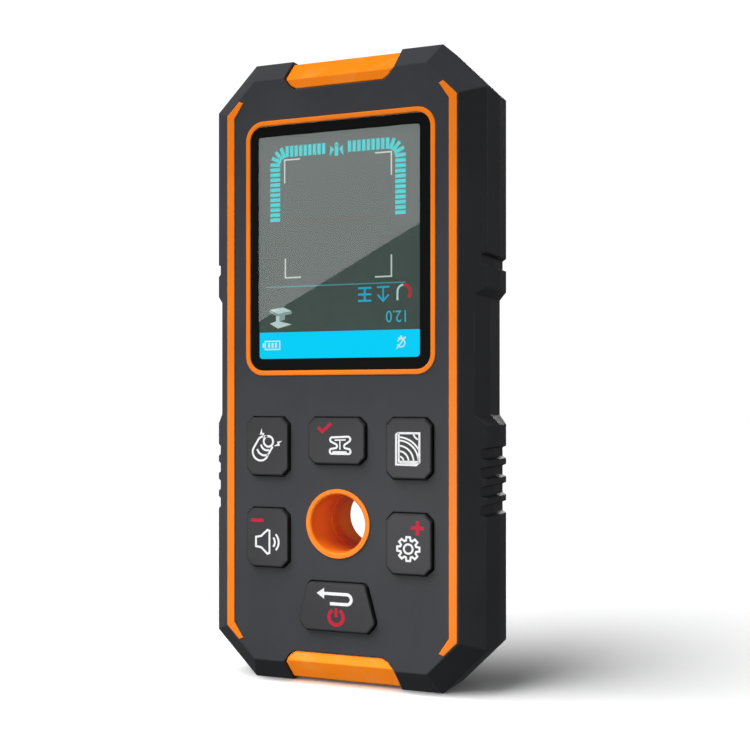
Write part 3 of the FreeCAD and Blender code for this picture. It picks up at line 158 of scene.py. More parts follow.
class Tree:
    """A material and the nodes in it."""

    def __init__(self, name: str) -> None:
        """Starts an empty material.

        Args:
            name: The material's name.
        """
        self.material = bpy.data.materials.new(name)
        self.material.use_nodes = True
        self.material.node_tree.nodes.clear()

    def node(
        self,
        kind: str,
        settings: Optional[dict[str, Any]] = None,
        values: Optional[dict[Any, Any]] = None,
        output: Any = 0,
    ) -> Socket:
        """Makes one node.

        Args:
            kind: The node's type.
            settings: Its own settings, which are set before its values.
            values: A number, colour or socket for each of its inputs.
            output: Which of its outputs is wanted.

        Returns:
            The wanted output.
        """
        made = self.material.node_tree.nodes.new(kind)
        for name, value in (settings or {}).items():
            setattr(made, name, value)
        for key, value in (values or {}).items():
            if isinstance(value, Socket):
                self.material.node_tree.links.new(value.output, made.inputs[key])
            else:
                made.inputs[key].default_value = value
        return Socket(self, made.outputs[output] if made.outputs else None)

    def place(self) -> Socket:
        """Where on the object the light falls, in metres."""
        return self.node("ShaderNodeTexCoord", output="Object")

    def axis(self, name: str) -> Socket:
        """One of the three coordinates of the place."""
        return self.node("ShaderNodeSeparateXYZ", values={0: self.place()}, output=name)

    def noise(self, spacing: float, detail: float = 2.0, stretch: Colour = (1.0, 1.0, 1.0)) -> Socket:
        """An uneven pattern between zero and one.

        Args:
            spacing: The distance between its lumps, in metres.
            detail: How many finer patterns lie on it.
            stretch: How much closer the lumps lie along each axis.

        Returns:
            The pattern.
        """
        where = self.node(
            "ShaderNodeVectorMath", {"operation": "MULTIPLY"}, {0: self.place(), 1: stretch}
        )
        values = {"Vector": where, "Scale": 1.0 / spacing, "Detail": detail}
        return self.node("ShaderNodeTexNoise", values=values)

    def cells(self, spacing: float) -> Socket:
        """The distance to the nearest of many scattered points, from zero to about one.

        Args:
            spacing: The distance between the points, in metres.

        Returns:
            The distance.
        """
        return self.node("ShaderNodeTexVoronoi", values={"Vector": self.place(), "Scale": 1.0 / spacing})

    def mix(self, share: Term, first: Any, second: Any) -> Socket:
        """A colour between two others.

        Args:
            share: How much of the second is in it.
            first: The first colour.
            second: The second colour.

        Returns:
            The mixed colour.
        """
        settings = {"data_type": "RGBA"}
        first, second = (c if isinstance(c, Socket) else (*c, 1.0) for c in (first, second))
        return self.node("ShaderNodeMix", settings, {0: share, 6: first, 7: second}, 2)

    def softened(self, radius: float) -> Socket:
        """The surface's direction with its edges eased.

        Args:
            radius: The radius of the easing, in metres.

        Returns:
            The direction.
        """
        return self.node("ShaderNodeBevel", {"samples": 4}, {"Radius": radius})

    def edge_share(self, eased: Socket) -> Socket:
        """How far the eased direction leaves the true one: one on a sharp edge, zero on a flat.

        Args:
            eased: The eased direction.

        Returns:
            The amount of edge.
        """
        true = self.node("ShaderNodeNewGeometry", output="True Normal")
        same = self.node("ShaderNodeVectorMath", {"operation": "DOT_PRODUCT"}, {0: eased, 1: true}, "Value")
        return (1.0 - same).ramp(0.02, 0.30)

    def bump(self, height: Socket, depth: float, under: Optional[Socket] = None) -> Socket:
        """The surface's direction over a relief.

        Args:
            height: The relief, from zero to one.
            depth: How deep it is, in metres.
            under: The direction under the relief.

        Returns:
            The direction.
        """
        values: dict[Any, Any] = {"Height": height, "Distance": depth, "Strength": 1.0}
        if under is not None:
            values["Normal"] = under
        return self.node("ShaderNodeBump", values=values)

    def finish(self, values: dict[str, Any]) -> bpy.types.Material:
        """Ends the material with a Principled shader.

        Args:
            values: The shader's values.

        Returns:
            The material.
        """
        whole = {key: (*v, 1.0) if isinstance(v, tuple) else v for key, v in values.items()}
        shader = self.node("ShaderNodeBsdfPrincipled", values=whole)
        self.node("ShaderNodeOutputMaterial", values={"Surface": shader})
        return self.material


# ---------------------------------------------------------------- finishes


def scaled(colour: Colour, amount: float) -> Colour:
    """A colour made lighter or darker."""
    return (colour[0] * amount, colour[1] * amount, colour[2] * amount)


@dataclass(frozen=True)
class MouldedPlastic:
    """Plastic from a spark-eroded mould, with slight wear and a painted highlight on its edges, which are
    made lighter.
    """

    name: str
    colour: Colour
    roughness: float = 0.5
    grain: float = 0.00035
    grain_depth: float = 0.000012
    clouds: float = 0.08
    easing: float = 0.0004
    # How much the edges are lightened, and towards what tint: partly wear, partly a painted edge highlight.
    wear_and_highlight: float = 0.55
    wear_and_highlight_tint: Colour = (0.16, 0.16, 0.165)
    shine: float = 0.3

    def make(self) -> bpy.types.Material:
        """Makes the material.

        Returns:
            The material.
        """
        tree = Tree(self.name)
        clouds = tree.noise(0.018, 4.0)
        grain = tree.noise(self.grain, 2.0)
        eased = tree.softened(self.easing)
        wear_and_highlight_patches = tree.noise(0.004, 3.0).ramp(0.25, 0.6)
        edge = tree.edge_share(eased) * wear_and_highlight_patches
        dark, light = (scaled(self.colour, 1 + share) for share in (-self.clouds, self.clouds))
        base = tree.mix(clouds.ramp(0.3, 0.7), dark, light)
        speckled = tree.mix(grain.ramp(0.55, 0.8) * 0.25, base, scaled(self.colour, 1.5))
        # Edges are mixed towards the lighter tint: partly real wear, partly a painted highlight along the
        # edges.
        colour = tree.mix(edge * self.wear_and_highlight, speckled, self.wear_and_highlight_tint)
        rough = self.roughness + (clouds - 0.5) * 0.12 + (grain - 0.5) * 0.10 - edge * 0.08
        return tree.finish(
            {
                "Base Color": colour,
                "Roughness": rough,
                "Specular IOR Level": self.shine,
                "Normal": tree.bump(grain, self.grain_depth, eased),
            }
        )


@dataclass(frozen=True)
class Rubber:
    """Moulded rubber with a dry bloom and fine pores."""

    name: str
    colour: Colour
    bloom: Colour
    roughness: float = 0.62

    def make(self) -> bpy.types.Material:
        """Makes the material.

        Returns:
            The material.
        """
        tree = Tree(self.name)
        patches = tree.noise(0.006, 4.0)
        pores = tree.cells(0.0005).ramp(0.1, 0.5)
        eased = tree.softened(0.0004)
        bloom = patches.ramp(0.45, 0.75) * 0.22
        colour = tree.mix(bloom + tree.edge_share(eased) * 0.12, self.colour, self.bloom)
        rough = self.roughness + (patches - 0.5) * 0.18 + (1.0 - pores) * 0.08
        return tree.finish(
            {
                "Base Color": colour,
                "Roughness": rough,
                "Specular IOR Level": 0.2,
                "Normal": tree.bump(pores, 0.00001, eased),
            }
        )


@dataclass(frozen=True)
class Window:
    """Clear hard-coated plastic with a few faint wipe marks."""

    name: str = "clear_window"

    def make(self) -> bpy.types.Material:
        """Makes the material.

        Returns:
            The material.
        """
        tree = Tree(self.name)
        wipes = tree.noise(0.006, 3.0, (0.35, 1.0, 1.6)).ramp(0.5, 0.8)
        hairlines = tree.noise(0.0012, 2.0, (0.08, 1.0, 1.0)).ramp(0.62, 0.8)
        return tree.finish(
            {
                "Base Color": (0.985, 0.995, 0.99),
                "Roughness": 0.012 + wipes * 0.03 + hairlines * 0.03,
                "IOR": 1.49,
                "Transmission Weight": 1.0,
            }
        )


@dataclass(frozen=True)
class ScreenLight:
    """A lit part of the display, seen through its grid of dots."""

    name: str
    colour: Colour
    body: Colour = (0.006, 0.010, 0.010)
    grid: float = 0.12
    dots: float = 0.00024

    def make(self) -> bpy.types.Material:
        """Makes the material.

        Returns:
            The material.
        """
        tree = Tree(self.name)
        pitch = 2 * math.pi / self.dots
        across = (tree.axis("X") * pitch).sine().size()
        up = (tree.axis("Z") * pitch).sine().size()
        lattice = across.least(up).ramp(0.0, 0.4)
        glare = tree.noise(0.02, 1.0).ramp(0.2, 0.8)
        lit = tree.mix(lattice, scaled(self.colour, 1 - self.grid), self.colour)
        lit = tree.mix(glare * 0.08, lit, scaled(self.colour, 1.12))
        return tree.finish(
            {
                "Base Color": tree.mix(lattice, scaled(self.body, 0.8), self.body),
                "Roughness": 0.35 + glare * 0.1,
                "Specular IOR Level": 0.0,
                "Emission Color": lit,
                "Emission Strength": 1.0,
            }
        )


@dataclass(frozen=True)
class PrintInk:
    """A thin screen-printed ink."""

    name: str
    colour: Colour
    roughness: float = 0.5
    shine: float = 0.25

    def make(self) -> bpy.types.Material:
        """Makes the material.

        Returns:
            The material.
        """
        tree = Tree(self.name)
        thin = tree.noise(0.0005, 3.0)
        colour = tree.mix(thin.ramp(0.3, 0.7), scaled(self.colour, 0.9), self.colour)
        return tree.finish(
            {
                "Base Color": colour,
                "Roughness": self.roughness + (thin - 0.5) * 0.2,
                "Specular IOR Level": self.shine,
                "Normal": tree.bump(thin, 0.000004),
            }
        )


@dataclass(frozen=True)
class Metal:
    """Plated metal with drawing lines and a little tarnish."""

    name: str
    colour: Colour
    tarnish: Colour
    roughness: float = 0.28
    lines: Colour = (1.0, 1.0, 0.1)

    def make(self) -> bpy.types.Material:
        """Makes the material.

        Returns:
            The material.
        """
        tree = Tree(self.name)
        drawn = tree.noise(0.00018, 2.0, self.lines)
        spots = tree.noise(0.0025, 4.0).ramp(0.5, 0.8)
        eased = tree.softened(0.0001)
        return tree.finish(
            {
                "Base Color": tree.mix(spots * 0.5, self.colour, self.tarnish),
                "Metallic": 1.0,
                "Roughness": self.roughness + (drawn - 0.5) * 0.2 + spots * 0.12,
                "Normal": tree.bump(drawn, 0.000004, eased),
            }
        )


@dataclass(frozen=True)
class Winding:
    """Enamelled copper wire wound round the marking hole."""

    level: float
    name: str = "copper_winding"
    wire: float = 0.0005

    def make(self) -> bpy.types.Material:
        """Makes the material.

        Returns:
            The material.
        """
        tree = Tree(self.name)
        turn = math.pi / self.wire
        across = tree.axis("X")
        up = tree.axis("Z") - self.level
        layer = ((across * across + up * up).root() * turn).sine().size()
        row = (tree.axis("Y") * turn).sine().size()
        wires = layer.least(row).ramp(0.0, 0.5)
        uneven = tree.noise(0.002, 2.0)
        colour = tree.mix(wires, (0.16, 0.045, 0.015), (0.74, 0.27, 0.11))
        return tree.finish(
            {
                "Base Color": tree.mix(uneven * 0.3, colour, (0.85, 0.4, 0.2)),
                "Metallic": 0.85,
                "Roughness": 0.25 + uneven * 0.2,
                "Coat Weight": 0.6,
                "Normal": tree.bump(wires, 0.0001),
            }
        )


@dataclass(frozen=True)
class CircuitBoard:
    """Green lacquer over copper tracks, with fine speckle."""

    name: str = "circuit_board_lacquer"
    lacquer: Colour = (0.012, 0.13, 0.045)
    track: Colour = (0.03, 0.24, 0.09)
    spacing: float = 0.0011
    swerve: float = 0.006

    def make(self) -> bpy.types.Material:
        """Makes the material.

        Returns:
            The material.
        """
        tree = Tree(self.name)
        pitch = math.pi / self.spacing
        shift = tree.noise(0.012, 1.0) * self.swerve
        up, along = (
            ((tree.axis(name) + shift) * pitch).sine().size().ramp(0.55, 0.62) for name in ("X", "Z")
        )
        choice = tree.noise(0.016, 0.0).ramp(0.49, 0.51)
        tracks = up * choice + along * (1.0 - choice)
        pads = 1.0 - tree.cells(0.0035).ramp(0.12, 0.14)
        colour = tree.mix(tracks, self.lacquer, self.track)
        colour = tree.mix(pads, colour, (0.62, 0.62, 0.6))
        return tree.finish(
            {
                "Base Color": colour,
                "Metallic": pads * 0.9,
                "Roughness": 0.32 + tree.noise(0.001, 2.0) * 0.15,
                "Coat Weight": 0.3,
                "Normal": tree.bump(tracks.most(pads), 0.00004, tree.softened(0.0001)),
            }
        )


@dataclass(frozen=True)
class Fibre:
    """Short felt or foam: a soft uneven surface with open pores."""

    name: str
    colour: Colour
    spacing: float
    depth: float

    def make(self) -> bpy.types.Material:
        """Makes the material.

        Returns:
            The material.
        """
        tree = Tree(self.name)
        tufts = tree.noise(self.spacing, 5.0)
        pores = tree.cells(self.spacing * 2).ramp(0.05, 0.6)
        relief = tufts * 0.6 + pores * 0.4
        colour = tree.mix(relief.ramp(0.2, 0.8), scaled(self.colour, 0.5), scaled(self.colour, 1.5))
        return tree.finish(
            {
                "Base Color": colour,
                "Roughness": 0.85 + relief * 0.1,
                "Sheen Weight": 0.35,
                "Normal": tree.bump(relief, self.depth),
            }
        )


@dataclass(frozen=True)
class Ribbon:
    """Amber film over rows of copper tracks."""

    name: str = "ribbon_film"
    spacing: float = 0.0005

    def make(self) -> bpy.types.Material:
        """Makes the material.

        Returns:
            The material.
        """
        tree = Tree(self.name)
        tracks = (tree.axis("X") * (math.pi / self.spacing)).sine().size().ramp(0.5, 0.6)
        ripple = tree.noise(0.004, 2.0)
        return tree.finish(
            {
                "Base Color": tree.mix(tracks, (0.42, 0.16, 0.02), (0.75, 0.42, 0.14)),
                "Roughness": 0.25 + ripple * 0.15,
                "Metallic": tracks * 0.5,
                "Coat Weight": 0.5,
                "Normal": tree.bump(tracks + ripple * 0.3, 0.00003),
            }
        )


@dataclass(frozen=True)
class Electrodes:
    """Gold-washed copper pads with a brushed face."""

    name: str = "electrode_gold"

    def make(self) -> bpy.types.Material:
        """Makes the material.

        Returns:
            The material.
        """
        tree = Tree(self.name)
        brushed = tree.noise(0.0002, 3.0, (0.1, 1.0, 1.0))
        stain = tree.noise(0.006, 4.0).ramp(0.5, 0.8)
        return tree.finish(
            {
                "Base Color": tree.mix(stain * 0.6, (0.86, 0.56, 0.2), (0.6, 0.3, 0.13)),
                "Metallic": 1.0,
                "Roughness": 0.25 + brushed * 0.2,
                "Normal": tree.bump(brushed, 0.000004),
            }
        )


@dataclass(frozen=True)
class CellSleeve:
    """A cell's shrunk sleeve with a light band at its positive end and bare steel ends."""

    name: str
    bottom: float
    top: float
    positive_up: bool
    band_start: float = 0.70
    stripe_place: float = 0.66
    crown: float = 0.0013

    def make(self) -> bpy.types.Material:
        """Makes the material.

        Returns:
            The material.
        """
        tree = Tree(self.name)
        up = tree.axis("Z")
        along = up - self.bottom if self.positive_up else self.top - up
        length = self.top - self.bottom
        band = along.ramp(length * self.band_start, length * (self.band_start + 0.005))
        stripe = 1.0 - (along - length * self.stripe_place).size().ramp(0.0006, 0.0007)
        steel = along.ramp(length - self.crown, length - self.crown + 0.00002)
        steel = steel.most(1.0 - along.ramp(0.0004, 0.00042))
        wrinkles = tree.noise(0.0012, 3.0, (1.0, 1.0, 0.25))
        colour = tree.mix(band, (0.018, 0.03, 0.06), (0.5, 0.52, 0.54))
        colour = tree.mix(stripe, colour, (0.75, 0.75, 0.74))
        colour = tree.mix(steel, colour, (0.62, 0.62, 0.62))
        return tree.finish(
            {
                "Base Color": colour,
                "Metallic": band.most(steel) * 0.9,
                "Roughness": 0.3 + wrinkles * 0.12,
                "Coat Weight": 0.4,
                "Normal": tree.bump(wrinkles, 0.00001, tree.softened(0.0002)),
            }
        )


# ---------------------------------------------------------------- flat shapes


@dataclass(frozen=True)
class FrontFace:
    """Where the casing's front face lies, in metres."""

    y: float
    middle: float

    @classmethod
    def find(cls) -> "FrontFace":
        """Reads the face's place from the front housing.

        Returns:
            The front face.
        """
        low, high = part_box("front_housing")
        return cls(low.y, (low.z + high.z) / 2)

    def matrix(self, depth: float) -> Matrix:
        """Takes millimetres across, up and towards the viewer into the frame.

        Args:
            depth: The plane's depth behind the front face, in millimetres.

        Returns:
            The matrix.
        """
        place = Matrix.Translation((0.0, self.y + depth / MILLIMETRES, self.middle))
        return place @ Matrix.Rotation(math.radians(90), 4, "X") @ Matrix.Scale(1 / MILLIMETRES, 4)


def arc(centre: Spot, radius: float, start: float, end: float, steps: int) -> list[Spot]:
    """Points along an arc.

    Args:
        centre: The arc's centre.
        radius: Its radius.
        start: The angle of its first point, in degrees.
        end: The angle of its last point.
        steps: How many pieces it has.

    Returns:
        The points.
    """
    angles = [math.radians(start + (end - start) * n / steps) for n in range(steps + 1)]
    return [(centre[0] + radius * math.cos(a), centre[1] + radius * math.sin(a)) for a in angles]


class Stencil:
    """Flat shapes in millimetres across and up, given a thickness and laid over the face."""

    def __init__(self, name: str, origin: Spot = (0.0, 0.0)) -> None:
        """Starts an empty stencil.

        Args:
            name: The piece's name.
            origin: Where the shapes' own centre lies on the face.
        """
        self.name = name
        self.origin = origin
        self.mesh = bmesh.new()

    def _face(self, corners: Iterable[Vector]) -> None:
        """One flat face through the corners."""
        self.mesh.faces.new([self.mesh.verts.new(corner) for corner in corners])

    def polygon(self, points: Sequence[Spot]) -> None:
        """A filled shape.

        Args:
            points: Its corners in order.
        """
        self._face(Vector((*point, 0.0)) for point in points)

    def bar(self, centre: Spot, wide: float, tall: float, turn: float = 0.0) -> None:
        """A filled rectangle.

        Args:
            centre: Its centre.
            wide: Its width.
            tall: Its height.
            turn: How far it is turned, in degrees.
        """
        verts = bmesh.ops.create_grid(self.mesh, x_segments=1, y_segments=1, size=0.5)["verts"]
        bmesh.ops.scale(self.mesh, vec=(wide, tall, 1.0), verts=verts)
        bmesh.ops.rotate(self.mesh, matrix=Matrix.Rotation(math.radians(turn), 3, "Z"), verts=verts)
        bmesh.ops.translate(self.mesh, vec=(*centre, 0.0), verts=verts)

    def disc(self, centre: Spot, radius: float, segments: int = 32) -> None:
        """A filled circle.

        Args:
            centre: Its centre.
            radius: Its radius.
            segments: How many sides it has.
        """
        made = bmesh.ops.create_circle(self.mesh, cap_ends=True, segments=segments, radius=radius)
        bmesh.ops.translate(self.mesh, vec=(*centre, 0.0), verts=made["verts"])

    def line(self, points: Sequence[Spot], width: float, closed: bool = False) -> None:
        """A line of even width with mitred corners.

        Args:
            points: The points that it goes through.
            width: Its width.
            closed: Whether it comes back to its start.
        """
        spots = [Vector((*point, 0.0)) for point in points]
        count = len(spots)
        runs = [(spots[(n + 1) % count] - spots[n]).normalized() for n in range(count)]
        pairs = []
        for n, spot in enumerate(spots):
            before = runs[n - 1] if closed or n > 0 else runs[n]
            after = runs[n] if closed or n < count - 1 else runs[n - 1]
            way = (before + after).normalized()
            across = Vector((-way.y, way.x, 0.0))
            reach = width / 2 / max(0.5, way.dot(after))
            pairs.append([self.mesh.verts.new(spot + across * reach * side) for side in (1, -1)])
        ends = pairs + pairs[:1] if closed else pairs
        for (left, right), (next_left, next_right) in zip(ends, ends[1:]):
            self.mesh.faces.new((left, right, next_right, next_left))

    def text(self, words: str, centre: Spot, tall: float, squeeze: float, turn: float) -> None:
        """Figures from the built-in face.

        Args:
            words: The figures.
            centre: The middle of the line of figures.
            tall: How tall a figure is.
            squeeze: Its width as a share of the face's own.
            turn: How far the line is turned, in degrees.
        """
        curve = bpy.data.curves.new(self.name, "FONT")
        curve.body = words
        curve.align_x = "CENTER"
        curve.align_y = "CENTER"
        curve.resolution_u = 4
        writing = bpy.data.objects.new(self.name, curve)
        mesh = bpy.data.meshes.new_from_object(writing)
        highest = max(vertex.co.y for vertex in mesh.vertices)
        lowest = min(vertex.co.y for vertex in mesh.vertices)
        grow = tall / (highest - lowest)
        sized = Matrix.Diagonal((grow * squeeze, grow, 1.0, 1.0))
        centred = Matrix.Translation((0.0, -(highest + lowest) / 2, 0.0))
        mesh.transform(Matrix.Rotation(math.radians(turn), 4, "Z") @ sized @ centred)
        mesh.transform(Matrix.Translation((*centre, 0.0)))
        self.mesh.from_mesh(mesh)
        bpy.data.meshes.remove(mesh)
        bpy.data.objects.remove(writing)
        bpy.data.curves.remove(curve)

    def lay(
        self, face: FrontFace, depth: float, thickness: float, material: bpy.types.Material
    ) -> bpy.types.Object:
        """Gives the shapes their thickness and lays them in place.

        Args:
            face: The casing's front face.
            depth: The depth of their back, in millimetres behind the face.
            thickness: Their thickness, towards the viewer.
            material: Their finish.

        Returns:
            The finished piece.
        """
        mesh = self.mesh
        bmesh.ops.remove_doubles(mesh, verts=mesh.verts, dist=0.0005)
        bmesh.ops.translate(mesh, vec=(*self.origin, 0.0), verts=mesh.verts)
        bmesh.ops.recalc_face_normals(mesh, faces=mesh.faces)
        grown = bmesh.ops.extrude_face_region(mesh, geom=mesh.faces[:])["geom"]
        fronts = [item for item in grown if isinstance(item, bmesh.types.BMVert)]
        bmesh.ops.translate(mesh, vec=(0.0, 0.0, thickness), verts=fronts)
        bmesh.ops.recalc_face_normals(mesh, faces=mesh.faces)
        bmesh.ops.transform(mesh, matrix=face.matrix(depth), verts=mesh.verts)
        data = bpy.data.meshes.new(self.name)
        mesh.to_mesh(data)
        mesh.free()
        data.materials.append(material)
        piece = bpy.data.objects.new(self.name, data)
        bpy.context.scene.collection.objects.link(piece)
        return piece


# ---------------------------------------------------------------- casing and inner parts


class Tone(enum.Enum):
    """The colours of the moulded pieces."""

    CASING_FRONT = (0.048, 0.049, 0.055)
    # The rear casing is a little lighter than the front: partly its own shade, partly painted light
    # standing in for side light on the rear half.
    CASING_REAR = (0.054, 0.054, 0.059)
    KEY = (0.039, 0.039, 0.043)
    BLACK = (0.012, 0.012, 0.013)
    WHITE = (0.72, 0.72, 0.70)
    ORANGE = (0.99, 0.235, 0.014)
    BUMPER = (0.98, 0.235, 0.006)
    BUMPER_BLOOM = (0.95, 0.42, 0.12)


@dataclass
class Casing:
    """The finishes of the outside pieces."""

    front: MouldedPlastic = MouldedPlastic(
        "casing_front_plastic", Tone.CASING_FRONT.value, roughness=0.46, shine=0.2
    )
    rear: MouldedPlastic = MouldedPlastic("casing_rear_plastic", Tone.CASING_REAR.value, roughness=0.46)
    # The keys' edges are lightened strongly: partly wear, partly a painted edge highlight.
    keys: MouldedPlastic = MouldedPlastic(
        "key_plastic", Tone.KEY.value, roughness=0.42, grain=0.00025, grain_depth=0.000006, wear_and_highlight=0.8
    )
    orange: MouldedPlastic = MouldedPlastic(
        "orange_plastic",
        Tone.ORANGE.value,
        roughness=0.38,
        grain_depth=0.000006,
        clouds=0.05,
        # The orange edges are lightened towards a pale orange: partly wear, partly a painted gloss
        # highlight.
        wear_and_highlight=0.3,
        wear_and_highlight_tint=(0.95, 0.45, 0.2),
        shine=0.2,
    )
    rubber: Rubber = Rubber("orange_rubber", Tone.BUMPER.value, Tone.BUMPER_BLOOM.value)
    felt: Fibre = Fibre("felt_pads", (0.03, 0.03, 0.03), 0.0004, 0.0001)

    def finishes(self) -> dict[str, Any]:
        """Pairs each outside piece with its finish.

        Returns:
            The finishes by the pieces' names.
        """
        return {
            "front_housing": self.front,
            "rear_housing": self.rear,
            "battery_door": self.rear,
            "left_stripe": self.orange,
            "right_stripe": self.orange,
            "window_trim": self.orange,
            "front_sleeve": self.orange,
            "rear_sleeve": self.orange,
            "top_bumper": self.rubber,
            "bottom_bumper": self.rubber,
            "window": Window(),
            "glide_pads": self.felt,
            **{f"{key}_key": self.keys for key in KEY_NAMES},
        }


@dataclass
class Insides:
    """The finishes of the pieces inside the casing."""

    black: MouldedPlastic = MouldedPlastic("black_plastic", Tone.BLACK.value, roughness=0.5)
    white: MouldedPlastic = MouldedPlastic(
        "white_plastic", Tone.WHITE.value, roughness=0.45, wear_and_highlight=0.0, clouds=0.03
    )
    glass: MouldedPlastic = MouldedPlastic(
        "display_glass", (0.03, 0.04, 0.038), roughness=0.12, grain_depth=0.0000005, wear_and_highlight=0.0
    )
    steel: Metal = Metal("nickel_steel", (0.62, 0.61, 0.59), (0.38, 0.35, 0.31))
    cells: tuple[str, ...] = ("battery_left", "battery_middle", "battery_right")

    def finishes(self) -> dict[str, Any]:
        """Pairs each inner piece with its finish.

        Returns:
            The finishes by the pieces' names.
        """
        sleeve_low, sleeve_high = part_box("front_sleeve")
        stems = {f"{key}_stem": self.black for key in KEY_NAMES}
        sleeves = {}
        for number, cell in enumerate(self.cells):
            low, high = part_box(cell)
            sleeves[cell] = CellSleeve(f"{cell}_sleeve", low.z, high.z, number % 2 == 0)
        return {
            "display_gasket": Fibre("gasket_foam", (0.02, 0.02, 0.02), 0.0006, 0.00008),
            "lcd_glass": self.glass,
            "lcd_backlight": self.white,
            "lcd_carrier": self.white,
            "lcd_ribbon": Ribbon(),
            "ribbon_socket": self.black,
            "coil_former": self.black,
            "coil_winding": Winding((sleeve_low.z + sleeve_high.z) / 2),
            "sensor_plate": CircuitBoard(),
            "sensor_electrodes": Electrodes(),
            "main_board": CircuitBoard(),
            "board_chips": self.black,
            "board_link": self.black,
            "buzzer": self.black,
            "case_screws": self.steel,
            "board_screws": self.steel,
            "switch_bodies": self.black,
            "spring_contacts": self.steel,
            "button_contacts": self.steel,
            "battery_springs": self.steel,
            **stems,
            **sleeves,
        }


def dress_nodes(nodes: dict[str, bpy.types.Object], finishes: dict[str, Any]) -> None:
    """Gives each named node its finish.

    Args:
        nodes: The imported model's objects.
        finishes: The finish of each.
    """
    made: dict[Any, bpy.types.Material] = {}
    for name, finish in finishes.items():
        if finish not in made:
            made[finish] = finish.make()
        for place in nodes[name].material_slots:
            place.material = made[finish]
        LOG.info("%s: %s", name, made[finish].name)


# ---------------------------------------------------------------- display picture


